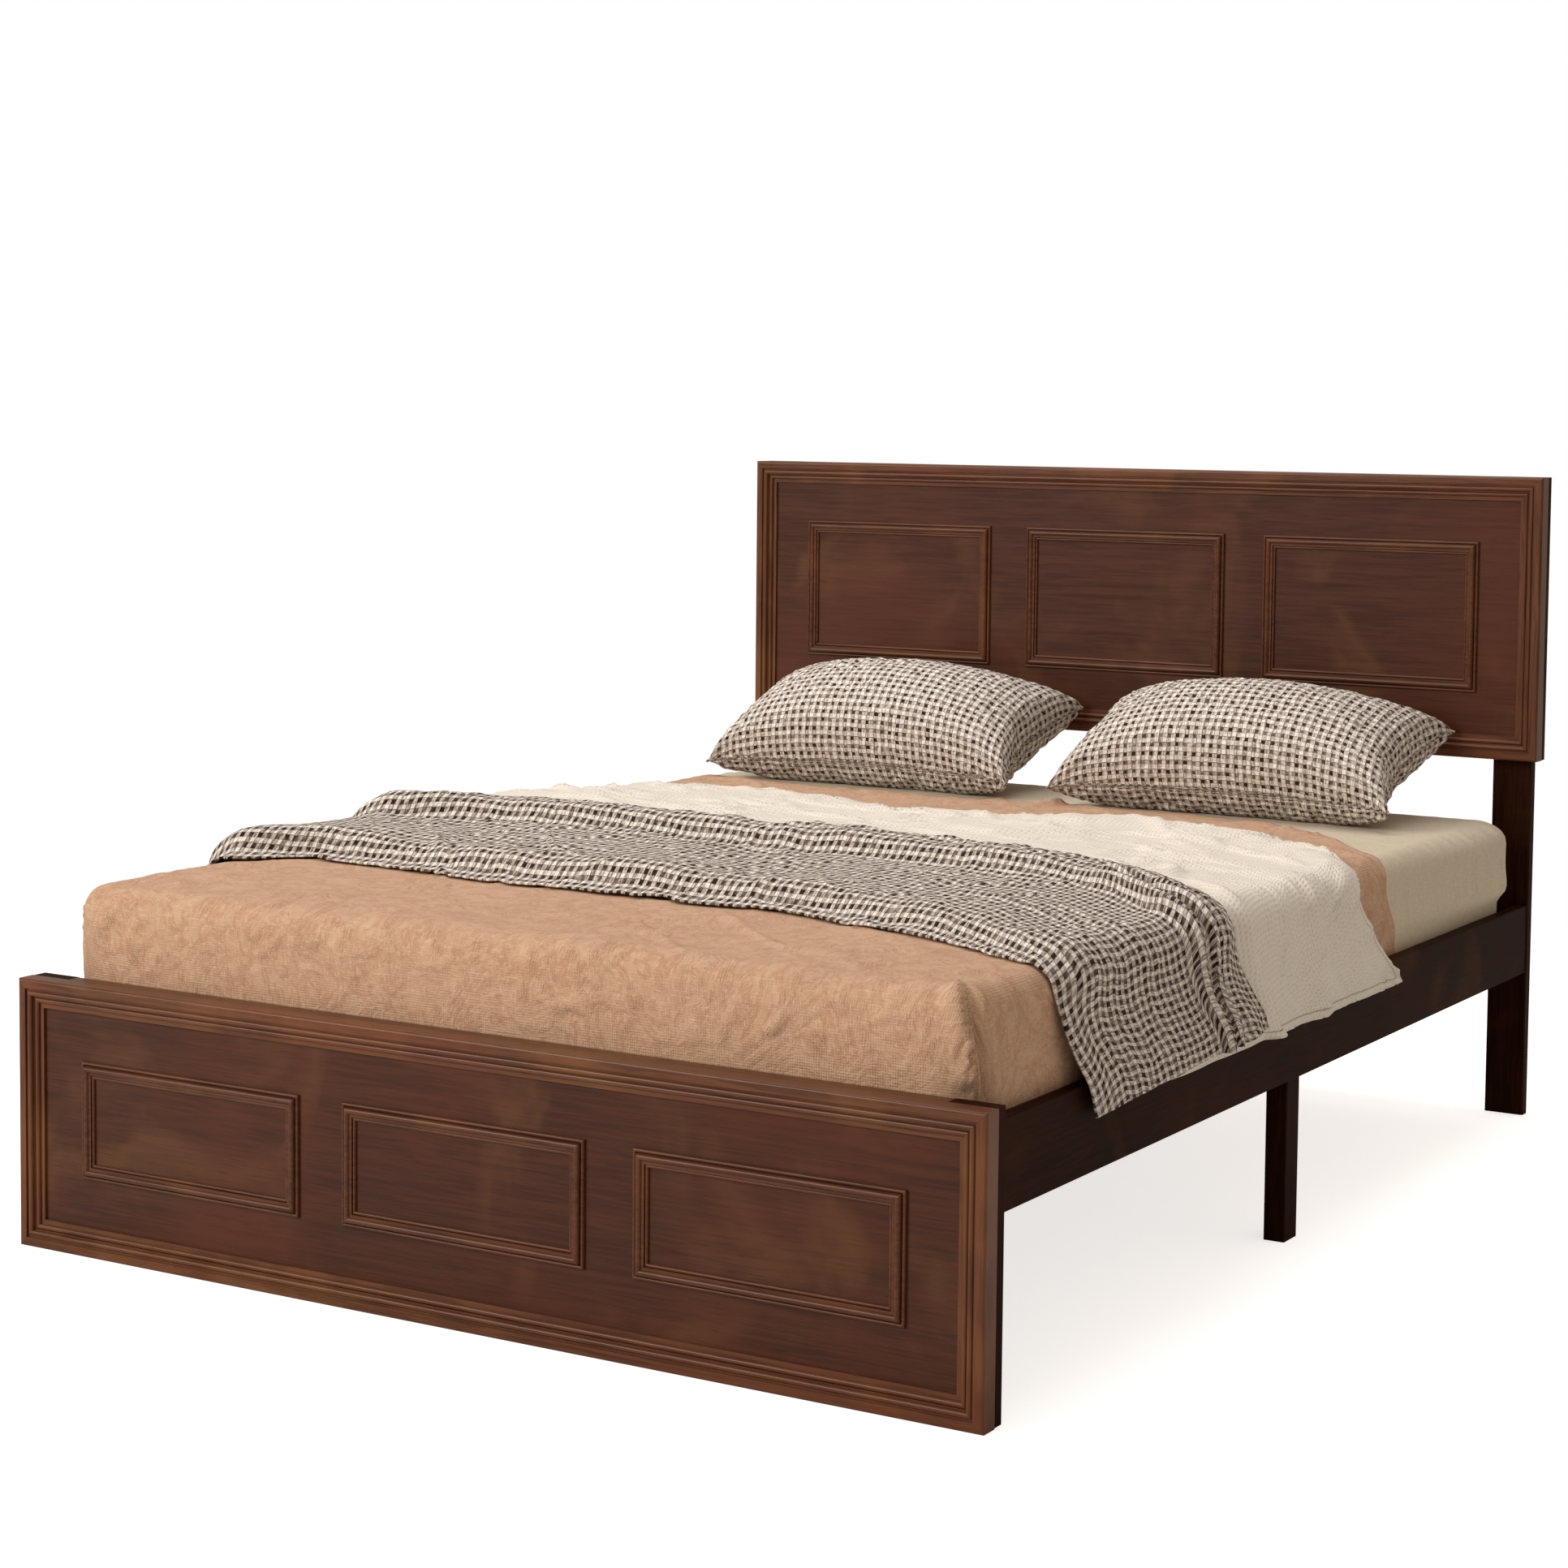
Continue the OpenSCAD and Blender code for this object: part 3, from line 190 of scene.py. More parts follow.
def zinc_plated_steel(name):
    """Pressed steel with bright zinc plating: cool grey, a faint spangle and fine rolling lines."""
    m = new_material(name)
    where = add(m, "TexCoord", out=3)
    spangle = add(m, "TexVoronoi", {"Vector": where, "Scale": 1000 / SPANGLE_MM})
    stretched = add(m, "Mapping", {"Vector": where, "Scale": (1, 1, 0.08)})
    lines = add(m, "TexNoise", {"Vector": stretched, "Scale": 1000 / DRAWN_LINE_MM, "Detail": 2.0})
    facet = add(m, "MapRange", {0: spangle, 1: 0.1, 2: 0.7})
    colour = in_coats(m, "#c9cccf", (facet, "#a9adb2"))
    dull = add(m, "MapRange", {0: lines, 1: 0.3, 2: 0.7, 3: 0.26, 4: 0.42})
    relief = add(m, "Bump", {"Height": lines, "Distance": 0.02 * MM, "Strength": 0.5})
    bsdf = add(m, "BsdfPrincipled", {
        "Base Color": colour, "Metallic": 1.0, "Roughness": dull, "Normal": relief})
    add(m, "OutputMaterial", {0: bsdf})
    return m


def cloth_place(m):
    """The flat cut's coordinates in metres, and its two distances in millimetres."""
    flat = add(m, "UVMap", uv_map="flat")
    in_mm = add(m, "VectorMath", {0: flat, "Scale": 1000.0}, operation="SCALE")
    return flat, add(m, "SeparateXYZ", {0: in_mm}, 0), add(m, "SeparateXYZ", {0: in_mm}, 1)


def wave(m, distance, period):
    """A wave from 0 to 1 with that period in millimetres."""
    turn = add(m, "Math", {0: distance, 1: 2 * math.pi / period}, operation="MULTIPLY")
    swing = add(m, "Math", {0: turn}, operation="SINE")
    return add(m, "Math", {0: swing, 1: 0.5, 2: 0.5}, operation="MULTIPLY_ADD")


def matt_cloth(m, colour, height, depth, strength, roughness, gloss, sheen,
               sheen_roughness=0.5, sheen_tint="#ffffff"):
    """Finishes a cloth: its relief, depth millimetres deep, and a dull face with a faint sheen."""
    relief = add(m, "Bump", {"Height": height, "Distance": depth * MM, "Strength": strength})
    bsdf = add(m, "BsdfPrincipled", {
        "Base Color": colour, "Roughness": roughness, "IOR": 1.45, "Specular IOR Level": gloss,
        "Sheen Weight": sheen, "Sheen Roughness": sheen_roughness, "Sheen Tint": linear(sheen_tint),
        "Normal": relief})
    add(m, "OutputMaterial", {0: bsdf})
    return m


# How many times longer than wide a thick place in the yarn is
SLUB_REACH = 5


def slubs(m, flat, gap):
    """Thick and thin yarns, warp and weft: noise drawn out along the yarn, gap millimetres apart."""
    yarns = []
    for scale in ((1, 1 / SLUB_REACH, 1), (1 / SLUB_REACH, 1, 1)):
        drawn = add(m, "Mapping", {"Vector": flat, "Scale": scale})
        yarns.append(add(m, "TexNoise", {
            "Vector": drawn, "Scale": 1000 / gap, "Detail": 3.0, "Roughness": 0.65}))
    return yarns


# Real linen has 2 threads a millimetre, and percale 4; both are drawn coarser so that they show
LINEN_THREAD_MM = 3.6
PERCALE_THREAD_MM = 3.4
# The creases' spacing, for their relief and for their painted shade
LINEN_CREASE_MM = 90
MOTTLE_MM = 34


def washed_linen(name, base, light, mottle_and_crease_shade):
    """Washed linen: heathered, thick and thin yarns, and painted crease shade: darker lines along its
    creases.
    """
    m = new_material(name)
    flat, u, v = cloth_place(m)
    warp, weft = slubs(m, flat, LINEN_THREAD_MM)
    yarn = add(m, "Math", {0: warp, 1: weft}, operation="MAXIMUM")
    creased = add(m, "TexNoise", {
        "Vector": flat, "Scale": 1000 / LINEN_CREASE_MM, "Detail": 6.0, "Roughness": 0.68, "Distortion": 1.6})
    off_middle = add(m, "Math", {0: creased, 1: 0.5}, operation="SUBTRACT")
    line = add(m, "Math", {0: off_middle}, operation="ABSOLUTE")
    # Painted shade: darker lines along the creases, in the darkest colour, which also gives the mottle
    crease_shade = add(m, "MapRange", {0: line, 1: 0.032, 2: 0.0, 4: 0.5}, **SMOOTH)
    mottle = add(m, "TexNoise", {
        "Vector": flat, "Scale": 1000 / MOTTLE_MM, "Detail": 5.0, "Roughness": 0.7})
    wash = add(m, "MapRange", {0: mottle, 1: 0.34, 2: 0.60, 3: 0.62}, **SMOOTH)
    pale = add(m, "MapRange", {0: yarn, 1: 0.48, 2: 0.74, 4: 0.55}, **SMOOTH)
    colour = in_coats(m, mottle_and_crease_shade, (wash, base), (pale, light), (crease_shade, mottle_and_crease_shade))
    threads = add(m, "Math", {
        0: wave(m, u, LINEN_THREAD_MM), 1: wave(m, v, LINEN_THREAD_MM)}, operation="MULTIPLY")
    height = add(m, "Math", {0: yarn, 1: 1.2, 2: threads}, operation="MULTIPLY_ADD")
    height = add(m, "Math", {0: creased, 1: 11.0, 2: height}, operation="MULTIPLY_ADD")
    return matt_cloth(
        m, colour, height, depth=0.9, strength=0.8, roughness=0.9, gloss=0.2, sheen=0.12, sheen_tint=light)


SHEET_CREASE_MM = 60


def cotton_percale(name, base, deep):
    """Close plain-woven cotton: smooth and matt, with shallow creases from folding."""
    m = new_material(name)
    flat = cloth_place(m)[0]
    warp, weft = slubs(m, flat, PERCALE_THREAD_MM)
    yarn = add(m, "Math", {0: warp, 1: weft}, operation="ADD")
    crease = add(m, "TexNoise", {
        "Vector": flat, "Scale": 1000 / SHEET_CREASE_MM, "Detail": 3.0, "Distortion": 1.0})
    shade = add(m, "MapRange", {0: yarn, 1: 0.75, 2: 1.25, 4: 0.7})
    colour = in_coats(m, base, (shade, deep))
    height = add(m, "Math", {0: crease, 1: 5.0, 2: yarn}, operation="MULTIPLY_ADD")
    return matt_cloth(m, colour, height, depth=0.6, strength=0.7, roughness=0.84, gloss=0.25, sheen=0.1)


WAFFLE_MM = 9.0
WAFFLE_YARN_MM = 4.0
# The hem's stitches: their pitch, their distance from the edge, and the thread's width
STITCH_MM = 7.0
HEM_TO_STITCH = 13 * MM
HEM_THREAD_W = 2.6 * MM


def waffle_cotton(name, base, deep, thread):
    """Honeycomb-woven cotton: rows of sunken cells, with painted shade in them, and a stitched hem."""
    m = new_material(name)
    flat, u, v = cloth_place(m)
    cell = add(m, "Math", {0: wave(m, u, WAFFLE_MM), 1: wave(m, v, WAFFLE_MM)}, operation="MULTIPLY")
    yarn = slubs(m, flat, WAFFLE_YARN_MM)[1]
    # Painted shade: the sunken cells are coloured towards the deep colour
    cell_shade = add(m, "MapRange", {0: cell, 1: 0.35, 2: 0.95, 4: 0.55}, **SMOOTH)
    fleck = add(m, "MapRange", {0: yarn, 1: 0.5, 2: 0.75, 4: 0.35})
    from_hem = add(m, "Attribute", out=2, attribute_name="from_hem")
    seam = add(m, "Math", {0: from_hem, 1: HEM_TO_STITCH, 2: HEM_THREAD_W / 2}, operation="COMPARE")
    gap = add(m, "Math", {0: u, 1: v}, operation="ADD")
    dash = add(m, "MapRange", {0: wave(m, gap, STITCH_MM), 1: 0.2, 2: 0.5, 4: 0.8})
    sewn = add(m, "Math", {0: seam, 1: dash}, operation="MULTIPLY")
    colour = in_coats(m, base, (cell_shade, deep), (fleck, deep), (sewn, thread))
    height = add(m, "Math", {0: cell, 1: -1.1, 2: yarn}, operation="MULTIPLY_ADD")
    height = add(m, "Math", {0: seam, 1: -1.6, 2: height}, operation="MULTIPLY_ADD")
    return matt_cloth(m, colour, height, depth=1.0, strength=0.8, roughness=0.88, gloss=0.2, sheen=0.12)


CHECK_YARN_MM = 3.6
UNEVEN_MM = 60
DOT_MM = 24
PUCKER_MM = 22
# How far the bars wander, as a share of their pitch
BAR_WANDER = 0.3


def yarn_dyed_check(name, pitch_u, pitch_v, ground, brown, half, bar_low, bar_high, cover):
    """Bulky cotton of two yarns: white squares stand up, brown crossings are dark dots."""
    m = new_material(name)
    flat, u, v = cloth_place(m)
    uneven = add(m, "TexNoise", {"Vector": flat, "Scale": 1000 / UNEVEN_MM, "Detail": 2.0}, 1)
    drift = add(m, "VectorMath", {0: uneven, 1: (-0.5, -0.5, -0.5)}, operation="ADD")
    bars = []
    for axis, straight, pitch in ((0, u, pitch_u), (1, v, pitch_v)):
        off = add(m, "SeparateXYZ", {0: drift}, axis)
        bent = add(m, "Math", {0: off, 1: BAR_WANDER * pitch, 2: straight}, operation="MULTIPLY_ADD")
        bars.append(add(m, "MapRange", {0: wave(m, bent, pitch), 1: bar_low, 2: bar_high}, **SMOOTH))
    warp, weft = slubs(m, flat, CHECK_YARN_MM)
    dots = add(m, "Math", {0: bars[0], 1: bars[1]}, operation="MULTIPLY")
    either = add(m, "Math", {0: bars[0], 1: bars[1]}, operation="MAXIMUM")
    loose = add(m, "MapRange", {0: warp, 1: 0.35, 2: 0.65, 3: 0.15 * cover, 4: cover})
    half_on = add(m, "Math", {0: either, 1: loose}, operation="MULTIPLY")
    yarn = add(m, "Math", {0: warp, 1: weft}, operation="ADD")
    grey = add(m, "MapRange", {0: yarn, 1: 0.8, 2: 1.25, 4: 0.7})
    patch = add(m, "TexNoise", {"Vector": flat, "Scale": 1000 / DOT_MM, "Detail": 2.0})
    strength = add(m, "MapRange", {0: patch, 1: 0.3, 2: 0.55, 3: 0.55})
    dark = add(m, "Math", {0: dots, 1: strength}, operation="MULTIPLY")
    colour = in_coats(m, ground, (grey, "#c2b7aa"), (half_on, half), (dark, brown))
    pucker = add(m, "TexNoise", {
        "Vector": flat, "Scale": 1000 / PUCKER_MM, "Detail": 3.0, "Distortion": 0.8})
    raised = add(m, "Math", {0: either, 1: -2.4, 2: yarn}, operation="MULTIPLY_ADD")
    raised = add(m, "Math", {0: pucker, 1: 4.0, 2: raised}, operation="MULTIPLY_ADD")
    return matt_cloth(m, colour, raised, depth=1.7, strength=1.0, roughness=0.92, gloss=0.15, sheen=0.04,
                      sheen_roughness=0.6)


QUILT_MM = 110
KNIT_MM = 3.0


def knitted_ticking(name):
    """Off-white knitted polyester, quilted in diamonds; painted shade makes it darker in the hollows between
    the puffs.
    """
    m = new_material(name)
    flat, u, v = cloth_place(m)
    both = add(m, "Math", {0: u, 1: v}, operation="ADD")
    apart = add(m, "Math", {0: u, 1: v}, operation="SUBTRACT")
    puffs = [add(m, "MapRange", {0: wave(m, way, QUILT_MM), 2: 0.25}, **SMOOTH) for way in (both, apart)]
    puff = add(m, "Math", {0: puffs[0], 1: puffs[1]}, operation="MULTIPLY")
    # Painted shade: lighter on the puffs, darker along the quilted hollows between them
    colour = in_coats(m, "#cbc5b9", (puff, "#e6e1d7"))
    knit = add(m, "Math", {0: wave(m, u, KNIT_MM), 1: wave(m, v, KNIT_MM)}, operation="MULTIPLY")
    height = add(m, "Math", {0: puff, 1: 4.0, 2: knit}, operation="MULTIPLY_ADD")
    return matt_cloth(m, colour, height, depth=0.8, strength=0.7, roughness=0.8, gloss=0.25, sheen=0.15)


BOARD_STAIN = dict(dark="#341a0d", mid="#472414", warm="#59381d", red="#572816", roughness=0.36)
# The rails' and stiles' stain is lighter than the boards': partly their stain, partly painted highlight of
# their lit top edges
EDGE_STAIN_AND_HIGHLIGHT = dict(dark="#452716", mid="#623b24", warm="#704729", red="#653621", roughness=0.32)
# The mouldings' stain is lighter than the boards': partly their stain, partly painted highlight of their lit
# ridges
MOULDING_STAIN_AND_HIGHLIGHT = dict(dark="#3f2313", mid="#59341f", warm="#674024", red="#5d311d", roughness=0.32)
SHADE_STAIN = dict(dark="#180a04", mid="#2c160b", warm="#3e240f", red="#35190c", roughness=0.5, gloss=0.02)
WALNUT = (
    ("walnut_board", "board", BOARD_STAIN, "x"), ("walnut_moulding", "moulding", MOULDING_STAIN_AND_HIGHLIGHT, "x"),
    ("walnut_rail", "rail", EDGE_STAIN_AND_HIGHLIGHT, "x"), ("walnut_stile", "stile", EDGE_STAIN_AND_HIGHLIGHT, "z"),
    ("dark_cross_member", "cross", SHADE_STAIN, "x"), ("dark_side_rail", "side_rail", SHADE_STAIN, "y"),
    ("dark_upright", "upright", SHADE_STAIN, "z"))
FINISHES = {
    **{slot: stained_walnut("stained_walnut_" + name, grain=way, **stain)
       for slot, name, stain, way in WALNUT},
    "pine_slat": planed_pine("planed_pine_slat", "x"),
    "pine_leg": planed_pine("planed_pine_leg", "z"),
    "pine_lengthwise": planed_pine("planed_pine_beam", "y"),
    "zinc_steel": zinc_plated_steel("zinc_plated_steel"),
    "mattress_ticking": knitted_ticking("knitted_polyester_ticking"),
    "sheet_cotton": cotton_percale("cotton_percale_beige", "#c8bba4", "#b3a58c"),
    # The tan linen's darkest colour gives its mottle and its painted crease shade
    "tan_cotton": washed_linen("washed_linen_tan", "#bd9a7d", "#d4b8a0", "#a3765c"),
    # The cream waffle's deep colour is painted shade in its sunken cells, and its yarn flecks
    "cream_cotton": waffle_cotton("waffle_cotton_cream", "#dcd4c7", "#bdb1a0", "#6f5f4b"),
    "checked_weave": yarn_dyed_check(
        "yarn_dyed_check_throw", 15.0, 20.0, "#f0e9df", "#26130a", "#5e4633", 0.36, 0.57, 0.95),
    "checked_pillow_weave": yarn_dyed_check(
        "yarn_dyed_check_pillow", 16.0, 16.0, "#f4ede4", "#321d12", "#7c6857", 0.43, 0.68, 0.85),
}

slot_of = {part["node"]: part["material_slot"] for part in frame["record"]["subparts"]}
SOFT_NODES = (
    "mattress", "fitted_sheet", "tan_blanket", "cream_coverlet", "checked_throw",
    "pillow_left", "pillow_right")
# The rails behind the boards' top edges show from above, and there they have the boards' brown, in the
# rails' stain with its painted highlight
BROWN_BACK_RAILS = ("footboard_back_rail", "headboard_back_rail")
for node_name, solid in frame["nodes"].items():
    if node_name not in SOFT_NODES:
        finish = "walnut_rail" if node_name in BROWN_BACK_RAILS else slot_of[node_name]
        solid.data.materials.clear()
        solid.data.materials.append(FINISHES[finish])

# Places taken from the frame
mattress_low, mattress_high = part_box("mattress")
board_face_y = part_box("headboard_rim_top")[0].y
rail_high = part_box("side_rail_right")[1]
foot_top_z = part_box("footboard_rim_top")[1].z
BED_HALF_X = mattress_high.x
BED_HALF_Y = (mattress_high.y - mattress_low.y) / 2
BED_MID_Y = (mattress_high.y + mattress_low.y) / 2
BED_TOP_Z, BED_LOW_Z = mattress_high.z, mattress_low.z

# The mattress's corner radius in plan and its edge radius
PLAN_R = 60 * MM
EDGE_R = 34 * MM

# Each cloth's clearance outside the mattress, and its thickness
COVER_GAP = 0.9 * MM
SHEET_AT, SHEET_T = 0.7 * MM, 1.2 * MM
TAN_AT, TAN_T = 3.0 * MM, 2.4 * MM
CREAM_AT, CREAM_T = TAN_AT + TAN_T + COVER_GAP, 2.4 * MM
THROW_AT, THROW_T = CREAM_AT + CREAM_T + COVER_GAP, 3.0 * MM
SHEET_HEM_Z = BED_LOW_Z + 12 * MM
TAN_HEM_Z = BED_LOW_Z + 22 * MM
CREAM_HEM_Z = rail_high.z - 40 * MM
THROW_HEM_Z = rail_high.z - 44 * MM
FOLD_DEPTH = 5.0 * MM
CREAM_OFF_RAIL = 1.0 * MM
THROW_OFF_RAIL = CREAM_OFF_RAIL + FOLD_DEPTH + CREAM_T + COVER_GAP

# Hems as the photograph shows them, in metres: the distance over the cloth from the bed's middle, and
# the place along the bed
TAN_UPPER_HEM = (
    (-0.92, 0.70), (-0.76, 0.72), (-0.38, 0.69), (-0.10, 0.71), (0.25, 0.735), (0.44, 0.70),
    (0.57, 0.62), (0.71, 0.45), (0.785, 0.39), (0.855, 0.44), (0.92, 0.455))
CREAM_UPPER_HEM = (
    (-0.96, 0.50), (-0.75, 0.53), (-0.45, 0.56), (-0.29, 0.53), (-0.17, 0.47), (0.07, 0.51),
    (0.31, 0.56), (0.52, 0.49), (0.65, 0.40), (0.75, 0.27), (0.80, 0.25), (0.885, 0.32), (0.955, 0.43))
CREAM_LOWER_HEM = (
    (-0.96, -0.62), (-0.72, -0.60), (-0.60, -0.53), (0.30, -0.56), (0.60, -0.66), (0.96, -0.66))
THROW_UPPER_HEM = (
    (-0.96, -0.17), (-0.76, -0.15), (-0.50, -0.06), (0.16, -0.04), (0.50, -0.06), (0.64, -0.15),
    (0.76, -0.26), (0.82, -0.25), (0.93, -0.17), (0.97, -0.15))
THROW_LOWER_HEM = (
    (-0.96, -0.75), (-0.73, -0.70), (-0.62, -0.61), (-0.11, -0.645), (0.30, -0.65), (0.60, -0.76),
    (0.70, -0.81), (0.78, -0.82), (0.855, -0.80), (0.97, -0.745))

# The throw's height in mm over its width, from its lower hem to its upper one: two steep-faced ridges
THROW_FOLDS = (
    (0, 2), (0.035, 5), (0.055, 8), (0.095, 32), (0.125, 36), (0.17, 33), (0.30, 24), (0.55, 16),
    (0.69, 10), (0.71, 12), (0.75, 35), (0.78, 38), (0.84, 33), (0.95, 18), (0.985, 9), (1, 2))


WAVE_COUNT = 22


def waves(u, v, seed, length, spread=0.5, angle=None, turn=math.pi):
    """A smooth random field of about -1 to 1, its waves about that many metres long."""
    rng = np.random.default_rng(seed)
    total = np.zeros_like(u)
    for _ in range(WAVE_COUNT):
        k = 2 * math.pi / (length * (1 + spread * rng.uniform(-1, 1)))
        way = rng.uniform(0, 2 * math.pi) if angle is None else angle + turn * rng.uniform(-1, 1)
        phase = rng.uniform(0, 2 * math.pi)
        total += np.cos(k * (u * math.cos(way) + v * math.sin(way)) + phase)
    return total * math.sqrt(2 / WAVE_COUNT) / 1.6


def creases(u, v, seed, length, width, angle=None, turn=math.pi):
    """Long winding fold lines of height 0 to 1, which come and go along their length."""
    line = np.exp(-(waves(u, v, seed, length, angle=angle, turn=turn) / width) ** 2)
    strength = np.clip(0.5 + 0.8 * waves(u, v, seed + 1, 1.7 * length), 0, 1)
    return line * strength


def crumple(u, v, layers):
    """Layers of creases added up, in mm.

    A layer is its height, seed, spacing in metres and breadth as a share; where its lines slant,
    also their angle and how far they stray from it.
    """
    return sum(height * creases(u, v, *lines) for height, *lines in layers)


def step(x, low, high):
    """0 below low, 1 above high, smooth between."""
    t = np.clip((x - low) / (high - low), 0, 1)
    return t * t * (3 - 2 * t)


def hill(x, middle, width):
    """1 at the middle, falling away on both sides."""
    return np.exp(-((x - middle) / width) ** 2)


def smooth_line(x, points, blur):
    """A line through the points at x, its corners rounded over that blur."""
    xs, ys = zip(*points)
    shifts = np.linspace(-1.5, 1.5, 7)
    weights = np.exp(-shifts ** 2)
    total = sum(w * np.interp(x + blur * shift, xs, ys) for w, shift in zip(weights, shifts))
    return total / weights.sum()


def quads(index):
    """The four-cornered faces of a grid of point numbers."""
    corners = [index[:-1, :-1], index[1:, :-1], index[1:, 1:], index[:-1, 1:]]
    return np.stack(corners, axis=2).reshape(-1, 4).tolist()


def edge_of(index):
    """The point numbers round the edge of a grid."""
    return np.concatenate([index[:-1, 0], index[-1, :-1], index[:0:-1, -1], index[0, :0:-1]])


def tube_quads(rings, count, closed=False):
    """The faces round rings of that many points each, from ring to ring."""
    index = np.arange(rings * count).reshape(rings, count)
    if closed:
        index = np.concatenate([index, index[:1]])
    return quads(np.concatenate([index.T, index.T[:1]]))


def mesh_object(name, verts, faces, uv, material, from_hem=None):
    """A smooth mesh with its flat coordinates and its distances from the hem; both may repeat."""
    mesh = bpy.data.meshes.new(name)
    mesh.from_pydata(np.reshape(verts, (-1, 3)).tolist(), [], faces)
    mesh.polygons.foreach_set("use_smooth", [True] * len(mesh.polygons))
    corner = np.zeros(len(mesh.loops), np.int32)
    mesh.loops.foreach_get("vertex_index", corner)
    flat = np.resize(uv, (len(mesh.vertices), 2))[corner]
    mesh.uv_layers.new(name="flat").data.foreach_set("uv", flat.astype(np.float32).ravel())
    if from_hem is not None:
        made = mesh.attributes.new("from_hem", "FLOAT", "POINT")
        made.data.foreach_set("value", np.resize(from_hem, len(mesh.vertices)).astype(np.float32))
    mesh.update()
    mesh.materials.append(material)
    obj = bpy.data.objects.new(name, mesh)
    bpy.context.scene.collection.objects.link(obj)
    return obj


def move_points(piece, co):
    piece.data.vertices.foreach_set("co", co.astype(np.float32).ravel())
    piece.data.update()


def flat_metric(points):
    """Real distances over the cloth from its middle: the place of each point on the flat cut."""
    n, m = points.shape[:2]
    u, v = np.zeros((2, n, m))
    u[1:] = np.cumsum(np.linalg.norm(np.diff(points, axis=0), axis=2), axis=0)
    v[:, 1:] = np.cumsum(np.linalg.norm(np.diff(points, axis=1), axis=2), axis=1)
    return np.stack([u - u[n // 2], v - v[:, m // 2, None]], axis=2)


def cloth(node, inner, thickness, slot, flat=None, from_hem=None):
    """The cloth that stands for a CAD node, on its inner surface: a grid of points facing outwards."""
    out = np.cross(np.gradient(inner, axis=0), np.gradient(inner, axis=1))
    outer = inner + out / np.maximum(np.linalg.norm(out, axis=2, keepdims=True), 1e-12) * thickness
    flat = flat_metric(outer) if flat is None else flat
    index = np.arange(inner[..., 0].size).reshape(inner.shape[:2])
    rim = edge_of(index)
    after = np.roll(rim, -1)
    side = np.stack([after, rim, rim + index.size, after + index.size], axis=1).tolist()
    low = [ring[::-1] for ring in quads(index + index.size)]
    faces = quads(index) + low + side
    piece = mesh_object(node + "_cloth", [outer, inner], faces, flat, FINISHES[slot], from_hem)
    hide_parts(node)
    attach(piece, "mattress_and_bedding")
    return piece


def wrap(a, b, off):
    """Points round the mattress at the flat place a, b from its middle, that far outside it."""
    core_x, core_y = BED_HALF_X - PLAN_R, BED_HALF_Y - PLAN_R
    ca, cb = np.clip(a, -core_x, core_x), np.clip(b, -core_y, core_y)
    va, vb = a - ca, b - cb
    t = np.maximum(np.abs(va), np.abs(vb))
    size = np.maximum(np.hypot(va, vb), 1e-9)
    level = PLAN_R - EDGE_R
    turn = np.clip((t - level) / EDGE_R, 0, math.pi / 2)
    r = EDGE_R + off
    out = np.minimum(t, level) + r * np.sin(turn)
    z = BED_TOP_Z - EDGE_R + r * np.cos(turn) - np.maximum(t - level - EDGE_R * math.pi / 2, 0)
    return np.stack([ca + va / size * out, BED_MID_Y + cb + vb / size * out, z], axis=2)


def on_side(a, b):
    """0 on the mattress's top, 1 on its sides."""
    return step(np.maximum(np.abs(a) - BED_HALF_X, np.abs(b) - BED_HALF_Y), -60 * MM, 0)


# The sheet's creases on top, and its sides' gathers, fullness near the head and bulge over the rail
SHEET_CREASES = ((1.3, 11, 0.34, 0.2), (0.9, 12, 0.17, 0.25))
SHEET_GATHER, SHEET_PUFF, SHEET_BULGE = 4.6, 17.0, 7.0
# The sides come bare between these distances from the head, and are cut back that much at it
SHEET_BARE_FROM, SHEET_BARE_TO = 0.66, 0.52
SHEET_HEAD_CUT = 0.92


def sheet_rise(a, b, z):
    """Small creases on top; its bare sides gather and bulge, and lie flat behind, so it lifts clear."""
    free = step(z, rail_high.z + 8 * MM, rail_high.z + 45 * MM)
    bare = step(b, BED_HALF_Y - SHEET_BARE_FROM, BED_HALF_Y - SHEET_BARE_TO)
    along = np.where(np.abs(a) > BED_HALF_X - PLAN_R, b, a)
    gather = SHEET_GATHER * np.clip(waves(along, z * 0.25, 15, 0.055, 0.45, 0.0, 0.25), 0, 1)
    gather *= 0.35 + 0.65 * hill(b, BED_HALF_Y, 0.5)
    puff = SHEET_PUFF * hill(b, BED_HALF_Y - 0.12, 0.24) * step(BED_TOP_Z - z, -4 * MM, 30 * MM)
    bulge = SHEET_BULGE * hill(z, rail_high.z + 48 * MM, 26 * MM) * (0.5 + 0.5 * waves(along, z, 16, 0.3))
    at_head = step(b, BED_HALF_Y - PLAN_R, BED_HALF_Y - PLAN_R / 3)
    sides = free * bare * (gather + puff + np.maximum(bulge, 0)) * (1 - SHEET_HEAD_CUT * at_head)
    at_side = on_side(a, b)
    return MM * (at_side * sides + (1 - at_side) * crumple(a, b, SHEET_CREASES))


# The corner pleat: its fold and the swell beside it in mm, its place round the corner and its swing
PLEAT_FOLD, PLEAT_SWELL = 15.0, 5.0
PLEAT_AT, PLEAT_SWING = math.radians(60), math.radians(18)
PLEAT_FALL = 120 * MM


